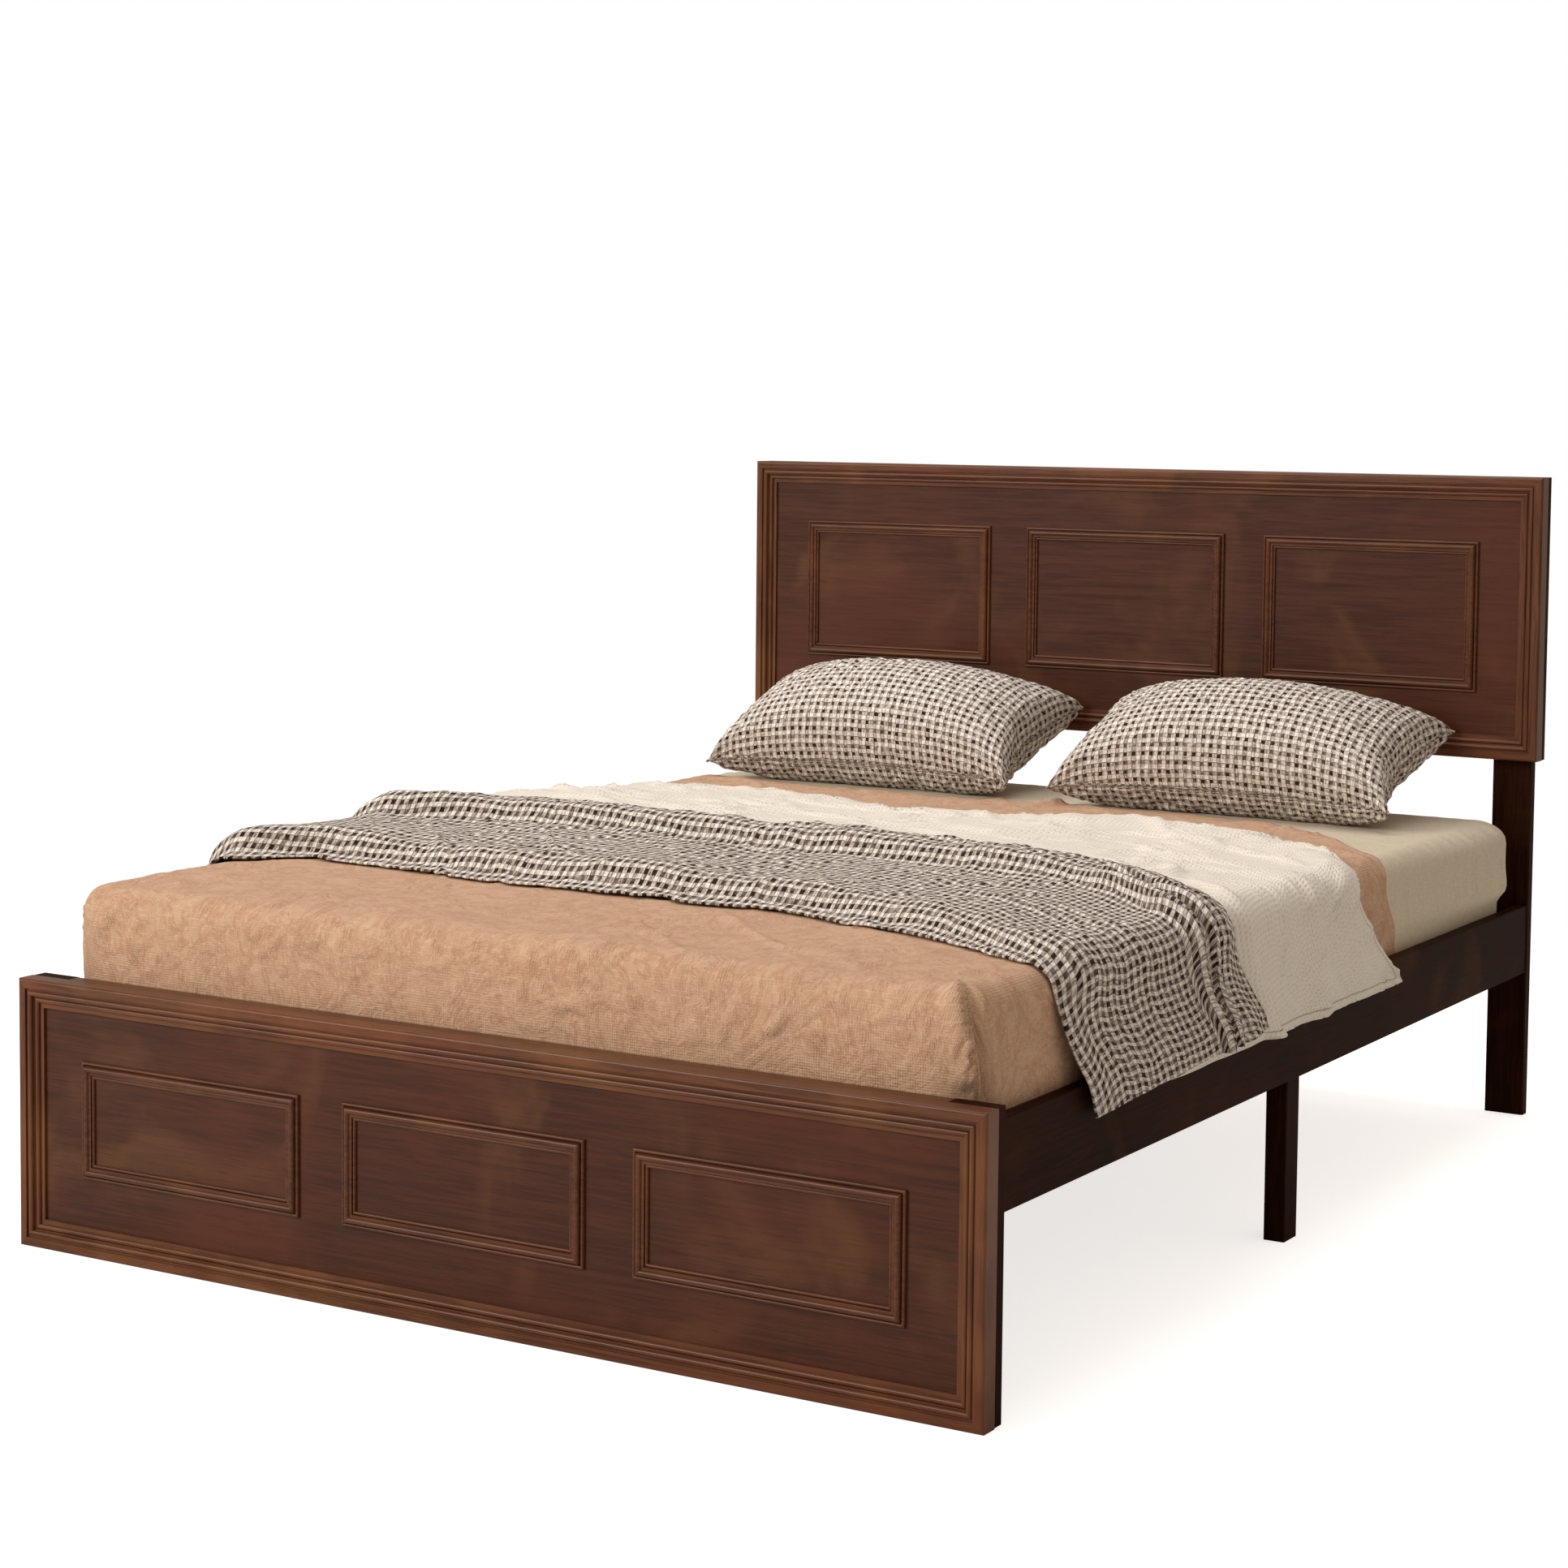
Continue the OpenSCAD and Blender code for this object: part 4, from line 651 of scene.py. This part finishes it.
def corner_pleat(a, b, z):
    """The tan blanket's gathered foot corner in mm; it ends above the footboard."""
    past_side = np.maximum(np.abs(a) - BED_HALF_X + PLAN_R, 0)
    past_end = np.maximum(np.abs(b) - BED_HALF_Y + PLAN_R, 0)
    around = np.arctan2(past_end, np.maximum(past_side, 1e-6))
    fold_at = PLEAT_AT - PLEAT_SWING * step(BED_TOP_Z - z, 0, PLEAT_FALL)
    past_fold = (fold_at - around) * PLAN_R
    fold = PLEAT_FOLD * step(past_fold, -36 * MM, -3 * MM) * (1 - step(past_fold, 1 * MM, 8 * MM))
    fold += PLEAT_SWELL * hill(past_fold, 28 * MM, 10 * MM)
    towards_foot = step(around, 0.5, 0.9) * (1 - step(z, foot_top_z + 2 * MM, foot_top_z + 30 * MM))
    return fold * (b < 0) * (1 - towards_foot)


# The tan blanket's creases on top, finer near the foot, over the foot and down its sides
TAN_CREASES = ((4.6, 21, 0.36, 0.16, 0.9, 0.6), (3.4, 22, 0.17, 0.18, 2.2, 0.7))
TAN_FINE_CREASES = ((1.4, 27, 0.09, 0.28, 0.5, 0.9),)
TAN_FOOT_FOLDS = ((6.5, 24, 0.15, 0.12, 0.5, 0.8),)
TAN_FOOT_CREASES = ((5.0, 25, 0.08, 0.15, -0.6, 0.7), (3.2, 28, 0.05, 0.2, 0.9, 0.7))
TAN_SIDE_CREASES = ((3.4, 26, 0.12, 0.3, 0.2, 0.6),)
# Its slow swell on top, and how far its sides may sink in, in mm
TAN_SWELL, TAN_SINK = 1.2, 1.2


def tan_rise(a, b, z):
    """Soft diagonal wrinkles on top, folds over the foot, and a pleat at each foot corner."""
    near_foot = 1 - step(b, -BED_HALF_Y + 0.12, -BED_HALF_Y + 0.30)
    to_right = step(a, -0.1, 0.1)
    top = crumple(a, b, TAN_CREASES) + crumple(a, b, TAN_FINE_CREASES) * near_foot
    top += TAN_SWELL * (0.6 + waves(a, b, 23, 0.5))
    over_foot = (b < -BED_HALF_Y + PLAN_R) & (np.abs(b) - BED_HALF_Y > np.abs(a) - BED_HALF_X)
    clear_foot = step(z, foot_top_z + 2 * MM, foot_top_z + 60 * MM)
    foot = crumple(a, z * 1.3, TAN_FOOT_FOLDS) + crumple(a, z, TAN_FOOT_CREASES)
    foot *= 0.4 + 0.6 * step(a, -BED_HALF_X, -BED_HALF_X + 0.12)
    clear_rail = step(z, rail_high.z + 10 * MM, rail_high.z + 40 * MM)
    flank = crumple(b, z, TAN_SIDE_CREASES) * (0.3 + 0.7 * to_right)
    sides = np.where(over_foot, foot * clear_foot, flank * clear_rail * near_foot)
    sides += corner_pleat(a, b, z) * (0.1 + 0.9 * to_right) * clear_rail
    at_side = on_side(a, b)
    under = sheet_rise(a, b, z) * step(b, -BED_HALF_Y + 0.3, 0)
    return MM * ((1 - at_side) * top + at_side * np.maximum(sides, -TAN_SINK) + 0.2) + under


def rounded_ring(half_x, half_y, r, z, count=12):
    """A rounded rectangle of points at that height."""
    ring = []
    for c, (sx, sy) in enumerate(((1, 1), (-1, 1), (-1, -1), (1, -1))):
        for j in range(count + 1):
            t = math.pi / 2 * (c + j / count)
            x = sx * (half_x - r) + r * math.cos(t)
            ring.append((x, BED_MID_Y + sy * (half_y - r) + r * math.sin(t), z))
    return ring


TAPE_R = 2.2 * MM
EDGE_STEPS = 9


def make_mattress():
    """A quilted mattress with rounded edges, and a tape edge round its underside."""
    turns = [math.pi / 2 * j / EDGE_STEPS for j in range(EDGE_STEPS + 1)]
    edge = [(EDGE_R * (1 - math.cos(t)), EDGE_R * (1 - math.sin(t))) for t in turns]
    rings = [(inset, BED_LOW_Z + z) for inset, z in edge[::-1]]
    rings += [(inset, BED_TOP_Z - z) for inset, z in edge]
    verts = []
    for inset, z in rings:
        verts += rounded_ring(BED_HALF_X - inset, BED_HALF_Y - inset, PLAN_R - inset, z)
    n = len(verts) // len(rings)
    order = list(range(len(verts)))
    faces = [order[:n][::-1]] + tube_quads(len(rings), n) + [order[-n:]]
    flat = [(x, y) if z in (BED_LOW_Z, BED_TOP_Z) else (x + y, z) for x, y, z in verts]
    body = mesh_object("mattress_body", verts, faces, flat, FINISHES["mattress_ticking"])
    inset = EDGE_R * (1 - math.cos(math.pi / 4))
    line = rounded_ring(BED_HALF_X - inset, BED_HALF_Y - inset, PLAN_R - inset, BED_LOW_Z + inset)
    tape = piping("mattress_tape_edge", line, TAPE_R, "mattress_ticking")
    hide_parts("mattress")
    for piece in (body, tape):
        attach(piece, "mattress_and_bedding")


def piping(name, line, radius, slot, sides=8):
    """A round edging along a closed line of points."""
    line = np.asarray(line, float)
    line = line[np.linalg.norm(line - np.roll(line, 1, axis=0), axis=1) > 1e-6]
    ahead = np.roll(line, -1, axis=0) - np.roll(line, 1, axis=0)
    ahead /= np.linalg.norm(ahead, axis=1, keepdims=True)
    side = np.cross(ahead, (0, 0, 1.0))
    side /= np.maximum(np.linalg.norm(side, axis=1, keepdims=True), 1e-9)
    top = np.cross(side, ahead)
    turn = np.linspace(0, 2 * math.pi, sides, endpoint=False)[None, :, None]
    verts = line[:, None] + radius * (np.cos(turn) * side[:, None] + np.sin(turn) * top[:, None])
    run = np.concatenate([[0], np.cumsum(np.linalg.norm(np.diff(line, axis=0), axis=1))])
    flat = np.stack(np.broadcast_arrays(run[:, None], turn[..., 0] * radius), axis=2)
    return mesh_object(name, verts, tube_quads(len(line), sides, True), flat, FINISHES[slot])


def wrapped_grid(hem_z, spacing):
    """Flat places over the mattress and down all its sides to that height."""
    reach = PLAN_R - EDGE_R + EDGE_R * math.pi / 2 + BED_TOP_Z - EDGE_R - hem_z
    edge_a, edge_b = BED_HALF_X - PLAN_R + reach, BED_HALF_Y - PLAN_R + reach
    a = np.linspace(-edge_a, edge_a, int(2 * edge_a / spacing) + 1)
    b = np.linspace(-edge_b, edge_b, int(2 * edge_b / spacing) + 1)
    return np.meshgrid(a, b, indexing="ij")


def make_fitted_sheet():
    """Elastic pulls it under the mattress; it is smooth on top and gathered at the head."""
    a, b = wrapped_grid(SHEET_HEM_Z, 8 * MM)
    z = wrap(a, b, SHEET_AT)[..., 2]
    inner = wrap(a, b, SHEET_AT + sheet_rise(a, b, z))
    sheet = cloth("fitted_sheet", inner, SHEET_T, "sheet_cotton", np.stack([a, b], axis=2))


# The tan blanket's single pinched fold: height, width, place on the bed and slant
PINCH_H, PINCH_W = 11 * MM, 11 * MM
PINCH_X, PINCH_Y, PINCH_SLANT = 0.02, 0.70, 0.25


def make_tan_blanket():
    """Tucked in at the foot and the sides; its upper hem sweeps back towards the right."""
    a, b = wrapped_grid(TAN_HEM_Z, 7.5 * MM)
    foot = b[:, :1]
    share = (b - foot) / (b[:, -1:] - foot)
    b = foot + share * (smooth_line(a, TAN_UPPER_HEM, 0.03) - BED_MID_Y - foot)
    z = wrap(a, b, TAN_AT)[..., 2]
    pinch = PINCH_H * hill(a, PINCH_X + PINCH_SLANT * (b - PINCH_Y), PINCH_W) * step(b, 0.55, 0.72)
    inner = wrap(a, b, TAN_AT + tan_rise(a, b, z) + pinch)
    blanket = cloth("tan_blanket", inner, TAN_T, "tan_cotton", np.stack([a, b], axis=2))


# How far a cover bends round the mattress's edge before it leaves it for the rail
EDGE_TURN = math.radians(78)


def to_rail(at, off_rail):
    """A cover's straight fall from the mattress's edge to the rail's top: its way, start and length."""
    turn_r = EDGE_R + at
    middle = np.array([BED_HALF_X - EDGE_R, BED_TOP_Z - EDGE_R])
    leaves = middle + turn_r * np.array([math.sin(EDGE_TURN), math.cos(EDGE_TURN)])
    fall = np.array([rail_high.x + off_rail, rail_high.z]) - leaves
    length = np.linalg.norm(fall)
    return fall / length, middle[0] + turn_r * EDGE_TURN, length


def over_rail(s, at, off_rail):
    """A cover's section at the distance s from the bed's middle, over the edge and past the rail.

    Gives x, z, the normal, how far it has fallen from 0 to 1, and s at the rail's top.
    """
    sign, s = np.sign(s), np.abs(s)
    way, s_edge, length = to_rail(at, off_rail)
    cx, cz, r = BED_HALF_X - EDGE_R, BED_TOP_Z - EDGE_R, EDGE_R + at
    s_rail = s_edge + length
    turn = np.clip((s - cx) / r, 0, EDGE_TURN)
    slope = np.clip(s - s_edge, 0, length)
    x = np.minimum(s, cx) + r * np.sin(turn) + way[0] * slope
    z = cz + r * np.cos(turn) + way[1] * slope - np.maximum(s - s_rail, 0)
    slant = math.atan2(-way[1], way[0])
    lean = np.where(s < s_edge, turn, EDGE_TURN + (slant - EDGE_TURN) * step(s, s_edge, s_edge + 15 * MM))
    lean = lean + (math.pi / 2 - slant) * step(s, s_rail - 12 * MM, s_rail + 12 * MM)
    fallen = step(s, s_edge - 20 * MM, s_edge + length * 0.75)
    return sign * x, z, sign * np.sin(lean), np.cos(lean), fallen, s_rail


def under_covers(x, y, fallen):
    """How far the tan blanket stands off the mattress under the covers."""
    within = BED_HALF_X - PLAN_R - 1 * MM
    a = np.clip(x, -within, within)
    return tan_rise(a, y - BED_MID_Y, np.full_like(a, BED_TOP_Z)) * (1 - fallen)


# The coverlet where it lies: its rumple and the rumple's limit, its hem's swell, softness and creases
CREAM_RUMPLE, CREAM_MOST, CREAM_HEM_SWELL, CREAM_SOFT = 27, 40, 9, 1.2
CREAM_CREASES = ((9, 42, 0.26, 0.16, 1.2, 0.7), (5, 44, 0.13, 0.2))


def cream_lying(x, y, low, high, fallen):
    """Height of the coverlet where it lies: one broad rumple, fullest on the left, and creases."""
    t = np.clip((y - low) / (high - low), 0, 1)
    to_right = np.clip((x + BED_HALF_X) / (2 * BED_HALF_X), 0, 1)
    rumple = CREAM_RUMPLE * np.sin(math.pi * t) ** 1.3 * (1 - 0.75 * to_right)
    rumple *= 0.8 + 0.3 * waves(x, y, 41, 0.55)
    edge = step(y, low, low + 0.05) * (1 - 0.5 * step(y, high - 0.03, high + 0.01))
    bare = step(y, -0.20, -0.02)
    fold = (0.25 + 0.75 * bare) * crumple(x, y, CREAM_CREASES)
    fold += CREAM_SOFT * (0.7 + waves(x, y, 46, 0.22))
    fold += CREAM_HEM_SWELL * hill(y, high - 0.05, 0.05) * step(x, -0.2, 0.2)
    return MM * (1 - fallen) * edge * (np.clip(rumple, 0, CREAM_MOST) + fold)


def hanging_folds(s, y, s_rail, seed):
    """Upright folds where a cover hangs, from 0 at the mattress's edge to full at the rail."""
    shape = np.clip(0.5 + 0.5 * waves(y, s * 0.12, seed, 0.17, 0.5, 0.0, 0.2), 0, 1)
    return FOLD_DEPTH * shape * step(np.abs(s), s_rail - 0.10, s_rail)


def cover_grid(reach, lower, upper, across, along, lift=0.0):
    """Flat places from the lower hem to the upper one, and the share of the way between them."""
    s = np.linspace(-reach, reach, int(2 * reach / across) + 1)
    rows = int(float(np.max(upper(s) - lower(s))) / along) + 1
    share = np.repeat(np.linspace(0, 1, rows)[None, :], len(s), axis=0)
    s = np.repeat(s[:, None], rows, axis=1) * (1 - lift * share / reach)
    return s, lower(s) + share * (upper(s) - lower(s)), share


def cream_lower(s):
    return smooth_line(s, CREAM_LOWER_HEM, 0.03)


def cream_upper(s):
    return smooth_line(s, CREAM_UPPER_HEM, 0.028) + 0.004 * waves(s, s * 0, 35, 0.12)


# The coverlet over the bed's edge: folds, creases, one broad fold, and the ridge beside the throw
CREAM_SIDE_FOLDS = ((9, 48, 0.20, 0.17, 0.6, 0.5),)
CREAM_SIDE_CREASES = ((5, 49, 0.10, 0.2, 0.3, 0.7),)
CREAM_BROAD_FOLD, CREAM_RIDGE = 6, 15


def cream_side(s, y):
    """The coverlet's folds over the bed's edge in mm, where the throw leaves it bare."""
    uncovered = step(y, -0.13, -0.04) * step(np.abs(s), 0.70, 0.80)
    drape = crumple(s, y * 0.7, CREAM_SIDE_FOLDS) + crumple(s, y, CREAM_SIDE_CREASES)
    drape += CREAM_BROAD_FOLD * hill(y, 0.09 - 0.1 * (s - 0.7), 0.03)
    past_throw = y - throw_upper(s) - 10 * MM * waves(s, s * 0, 50, 0.12)
    ridge = CREAM_RIDGE * step(past_throw, 3 * MM, 38 * MM) * (1 - step(past_throw, 44 * MM, 52 * MM))
    return uncovered * drape + ridge * step(s, 0.60, 0.70)


def make_cream_coverlet():
    """Lies over the middle of the bed and hangs past both rails, with a stitched hem."""
    reach = sum(to_rail(CREAM_AT, CREAM_OFF_RAIL)[1:]) + rail_high.z - CREAM_HEM_Z
    s, y, share = cover_grid(reach, cream_lower, cream_upper, 8 * MM, 7 * MM)
    x, z, nx, nz, fallen, s_rail = over_rail(s, CREAM_AT, CREAM_OFF_RAIL)
    rise = under_covers(x, y, fallen) + cream_lying(x, y, cream_lower(s), cream_upper(s), fallen)
    rise = np.maximum(rise, 0) + hanging_folds(s, y, s_rail, 47) + MM * cream_side(s, y)
    inner = np.stack([x + nx * rise, y, z + nz * rise], axis=2)
    from_long_hem = np.minimum(share, 1 - share) * (cream_upper(s) - cream_lower(s))
    from_hem = np.minimum(reach - np.abs(s), from_long_hem)
    cover = cloth("cream_coverlet", inner, CREAM_T, "cream_cotton", from_hem=from_hem)


def throw_lower(s):
    return smooth_line(s, THROW_LOWER_HEM, 0.025) + 0.004 * waves(s, s * 0, 37, 0.25)


def throw_upper(s):
    return smooth_line(s, THROW_UPPER_HEM, 0.03) + 0.004 * waves(s, s * 0, 38, 0.3)


# How much higher the throw's ends hang at its upper hem, and its rough span from hem to hem
THROW_LIFT, THROW_SPAN = 24 * MM, 0.55
# The throw's puckers: height in mm, seed, spacing, sharpness, and the share lost where it hangs
THROW_PUCKERS = ((1.8, 61, 0.10, 0.3, 0.8), (1.1, 63, 0.05, 0.35, 0.7))
THROW_CRINKLE = 0.35
# The right end's double crease in mm: its two ridges and the swell between them and the hem
DOUBLE_RIDGES, DOUBLE_SWELL = (20.0, 18.0), 11.0


def throw_ridges(s, share, fallen):
    """The throw's two long ridges in mm, and each point's place across them from 0 to 1."""
    wander = 0.018 * waves(s, share * 0, 52, 0.7) + 0.005 * waves(s, share * 0.3, 53, 0.2)
    place = np.clip(share + wander * np.sin(math.pi * share), 0, 1)
    swell = 0.92 + 0.13 * waves(s, share * 0.5, 54, 0.45) + 0.20 * (1 - step(s, -0.72, -0.45))
    swell *= 1 - 0.45 * step(s, 0.35, 0.72)
    return smooth_line(place, THROW_FOLDS, 0.006) * swell * (1 - fallen) ** 2, place


def throw_puckers(s, share, place, fallen):
    """Small puckers of the loose weave in mm, fewer between the ridges."""
    rough = 1 - 0.7 * step(place, 0.2, 0.3) * (1 - step(place, 0.62, 0.70))
    over = share * THROW_SPAN
    puckers = THROW_CRINKLE * (1 + waves(s, over, 65, 0.04))
    for height, seed, length, width, lost in THROW_PUCKERS:
        puckers += height * creases(s, over, seed, length, width) * rough * (1 - lost * fallen)
    return puckers


def double_crease(s, place, s_rail, reach):
    """The two creases of the throw's right end in mm, lower towards its hem."""
    double = DOUBLE_RIDGES[0] * hill(place, 0.735, 0.017) + DOUBLE_RIDGES[1] * hill(place, 0.80, 0.012)
    double += DOUBLE_SWELL * step(place, 0.825, 0.85) * (1 - step(place, 0.88, 1.0))
    double = (double - 1.5) * step(s, 0.50, 0.66) * (1 - 0.3 * step(s, s_rail, reach))
    return np.maximum(double, 0)


def make_checked_throw():
    """Bunched into two long ridges; both ends hang, the right one with a double crease."""
    reach = sum(to_rail(THROW_AT, THROW_OFF_RAIL)[1:]) + rail_high.z - THROW_HEM_Z
    s, y, share = cover_grid(reach, throw_lower, throw_upper, 7 * MM, 4.2 * MM, THROW_LIFT)
    x, z, nx, nz, fallen, s_rail = over_rail(s, THROW_AT, THROW_OFF_RAIL)
    ridges, place = throw_ridges(s, share, fallen)
    relief = ridges + throw_puckers(s, share, place, fallen) + double_crease(s, place, s_rail, reach)
    over_cream = step(y, cream_lower(s) - 26 * MM, cream_lower(s) - 3 * MM)
    drop = (1 - over_cream) * (CREAM_T + COVER_GAP) * (1 - fallen)
    lying = cream_lying(x, y, cream_lower(s), cream_upper(s), fallen)
    rise = under_covers(x, y, fallen) + lying + MM * relief - drop
    rise += 0.6 * hanging_folds(s, y, s_rail, 67)
    inner = np.stack([x + nx * rise, y, z + nz * rise], axis=2)
    throw = cloth("checked_throw", inner, THROW_T, "checked_weave")


# Each pillow: full size, height over and under its seam, how far its sides draw in, and its lean
pillow_low, pillow_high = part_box("pillow_right")
PILLOW_W = pillow_high.x - pillow_low.x
PILLOW_D = 0.345
PILLOW_CROWN, PILLOW_UNDER, PILLOW_DRAW = 0.130, 0.084, 0.026
PILLOW_TILT = math.radians(20)
PILLOW_SEAM_RISE = 34 * MM
PILLOW_OFF_BOARD = 5 * MM
PILLOW_REST_Z = BED_TOP_Z + 4.0 * MM
PILLOW_SHIFT = -10 * MM
SEAM_R = 2.0 * MM
# How square a pillow's sides stand, its grid, and the case's crumpling before it is filled
PILLOW_FULLNESS = 0.42
PILLOW_GRID = (88, 50)
CRUMPLED = 0.6 * MM
# The filling: frames, pressure, shrinkage, how far a point may move, and the empty case's size
SIM_FRAMES, SIM_PRESSURE, SIM_SHRINK, SIM_CAP = 20, 4.0, -0.06, 16 * MM
EMPTY_SHARE = 0.965


def pillow_shape(u, v, height):
    """One side of a pillow, crowned in the middle and drawn in between its corners."""
    su, sv = np.sin(math.pi / 2 * u), np.sin(math.pi / 2 * v)
    x = su * (PILLOW_W / 2 - PILLOW_DRAW * (1 - sv ** 2))
    y = sv * (PILLOW_D / 2 - PILLOW_DRAW * (1 - su ** 2))
    plump = np.maximum((1 - su ** 2) * (1 - sv ** 2), 0) ** PILLOW_FULLNESS
    return np.stack([x, y, height * plump], axis=2)


def settle(co, middle_x):
    """Leans a pillow on the headboard and flattens it where it touches the bed and the board."""
    c, s = math.cos(PILLOW_TILT), math.sin(PILLOW_TILT)
    face = board_face_y - PILLOW_OFF_BOARD
    y = co[:, 1] * c - co[:, 2] * s + face - PILLOW_D / 2 * c
    z = (co[:, 1] + PILLOW_D / 2) * s + co[:, 2] * c + PILLOW_REST_Z + PILLOW_SEAM_RISE
    return np.stack([co[:, 0] + middle_x, np.minimum(y, face), np.maximum(z, PILLOW_REST_Z)], axis=1)


def inflate(case):
    """Fills the case by a cloth simulation, and gives its new points."""
    filling = case.modifiers.new("fill", "CLOTH")
    s = filling.settings
    s.quality, s.mass = 6, 0.3
    s.tension_stiffness = s.compression_stiffness = 12
    s.shear_stiffness, s.bending_stiffness = 6, 0.35
    s.use_pressure, s.uniform_pressure_force = True, SIM_PRESSURE
    s.shrink_min = SIM_SHRINK
    s.effector_weights.gravity = 0
    filling.point_cache.frame_start, filling.point_cache.frame_end = 1, SIM_FRAMES
    scene = bpy.context.scene
    for frame_number in range(1, SIM_FRAMES + 1):
        scene.frame_set(frame_number)
    made = case.evaluated_get(bpy.context.evaluated_depsgraph_get())
    co = np.array([v.co for v in made.data.vertices])
    case.modifiers.remove(filling)
    scene.frame_set(1)
    return co


def refine(case):
    """Divides the case's faces once; gives its points, normals and flat places."""
    finer = case.modifiers.new("finer", "SUBSURF")
    finer.levels = 1
    made = bpy.data.meshes.new_from_object(case.evaluated_get(bpy.context.evaluated_depsgraph_get()))
    case.modifiers.remove(finer)
    made.name = case.data.name
    case.data = made
    co = np.array([v.co for v in made.vertices])
    out = np.array([v.normal for v in made.vertices])
    flat = np.zeros((len(co), 2))
    for corner, place in zip(made.loops, made.uv_layers["flat"].data):
        flat[corner.vertex_index] = place.uv
    return co, out, flat


def pillow_case():
    """Both sides of a case, joined at the edge: points, faces, flat places, the front's numbers."""
    nu, nv = PILLOW_GRID
    u, v = np.meshgrid(np.linspace(-1, 1, nu + 1), np.linspace(-1, 1, nv + 1), indexing="ij")
    front, back = pillow_shape(u, v, PILLOW_CROWN), pillow_shape(u, v, -PILLOW_UNDER)
    index = np.arange(u.size).reshape(u.shape)
    under = index.copy()
    under[1:-1, 1:-1] = u.size + np.arange((nu - 1) * (nv - 1)).reshape(nu - 1, nv - 1)
    faces = []
    for upper, lower in zip(quads(index), quads(under)):
        faces += [upper, lower[::-1]]
    verts = np.concatenate([front.reshape(-1, 3), back[1:-1, 1:-1].reshape(-1, 3)])
    flat = [flat_metric(front).reshape(-1, 2), flat_metric(back)[1:-1, 1:-1].reshape(-1, 2)]
    return verts, faces, np.concatenate(flat), index


def seam_line(co, index):
    """The case's edge as a closed line, kept clear of the bed and the headboard."""
    line = co[edge_of(index)]
    line[:, 2] = np.maximum(line[:, 2], PILLOW_REST_Z + 1.25 * SEAM_R)
    line[:, 1] = np.minimum(line[:, 1], board_face_y - PILLOW_OFF_BOARD - 1.25 * SEAM_R)
    return line


def make_pillow(side, seed):
    """A plump pillow case: the simulated filling wrinkles it, and a seam runs round its edge."""
    verts, faces, flat, index = pillow_case()
    start = verts + np.random.default_rng(seed).normal(0, CRUMPLED, verts.shape)
    case = mesh_object("pillow_%s_case" % side, start, faces, flat, FINISHES["checked_pillow_weave"])
    moved = verts
    verts = verts * EMPTY_SHARE
    move_points(case, start * EMPTY_SHARE)
    shift = inflate(case) - verts
    far = np.linalg.norm(shift, axis=1, keepdims=True)
    moved = verts + shift * np.minimum(1, SIM_CAP / np.maximum(far, 1e-9))
    move_points(case, moved)
    moved, out, flat = refine(case)
    across, along = flat.T
    crinkle = crumple(across, along, ((3.4, seed, 0.11, 0.3), (2.2, seed + 5, 0.05, 0.3)))
    crinkle += 1.1 * waves(across, along, seed + 9, 0.022)
    low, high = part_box("pillow_" + side)
    co = settle(moved - out * (crinkle * MM)[:, None], (low.x + high.x) / 2 + PILLOW_SHIFT)
    move_points(case, co)
    seam = piping("pillow_%s_seam" % side, seam_line(co, index), SEAM_R, "checked_pillow_weave", 6)
    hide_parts("pillow_" + side)
    for piece in (case, seam):
        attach(piece, side + "_pillow")


make_mattress()
make_fitted_sheet()
make_tan_blanket()
make_cream_coverlet()
make_checked_throw()
make_pillow("left", 71)
make_pillow("right", 83)

# The floor is pale paper; away from the bed it fades to the white of the backdrop
PAPER_FROM, PAPER_TO = 1.5, 3.2
PAPER_GLOW = 0.70
PAPER_SIZE = 60


def make_floor():
    m = new_material("pale_paper_floor")
    where = add(m, "TexCoord", out=3)
    away = add(m, "VectorMath", {0: where}, 1, operation="LENGTH")
    far = add(m, "MapRange", {0: away, 1: PAPER_FROM, 2: PAPER_TO}, **SMOOTH)
    lit = add(m, "BsdfDiffuse", {"Color": linear("#f2f1ee")})
    glow = add(m, "Emission", {"Strength": PAPER_GLOW})
    near = add(m, "AddShader", {0: lit, 1: glow})
    seen = add(m, "MixShader", {0: far, 1: near, 2: add(m, "Emission")})
    shown = add(m, "MixShader", {0: add(m, "LightPath"), 1: lit, 2: seen})
    add(m, "OutputMaterial", {0: shown})
    bpy.ops.mesh.primitive_plane_add(size=PAPER_SIZE, location=(0, 0, 0))
    floor = bpy.context.object
    floor.name = "floor"
    floor.data.materials.append(m)


AMBIENT = 0.46


def make_backdrop():
    """White behind the bed, and a dimmer even light on it."""
    world = bpy.context.scene.world = bpy.data.worlds.new("studio")
    world.use_nodes = True
    world.node_tree.nodes.clear()
    soft = add(world, "Background", {0: linear("#ffeedd"), 1: AMBIENT})
    white = add(world, "Background", {0: (1, 1, 1, 1)})
    seen = add(world, "MixShader", {0: add(world, "LightPath"), 1: soft, 2: white})
    add(world, "OutputWorld", {0: seen})


def softbox(name, at, target, size, power, colour):
    data = bpy.data.lights.new(name, "AREA")
    data.shape, data.size, data.size_y = "RECTANGLE", *size
    data.energy = power
    data.color = linear(colour)[:3]
    lamp = bpy.data.objects.new(name, data)
    lamp.location = at
    lamp.rotation_euler = (Vector(target) - Vector(at)).to_track_quat("-Z", "Y").to_euler()
    bpy.context.scene.collection.objects.link(lamp)


make_floor()
make_backdrop()
softbox("key_softbox", (-4.2, -7.0, 4.4), (0, 0, 0.5), (4.4, 3.4), 560, "#fffbf6")
softbox("top_softbox", (-0.4, 0.4, 4.2), (0, 0.1, 0.3), (3.4, 3.0), 96, "#f8faff")

bpy.context.scene.view_settings.view_transform = "Standard"
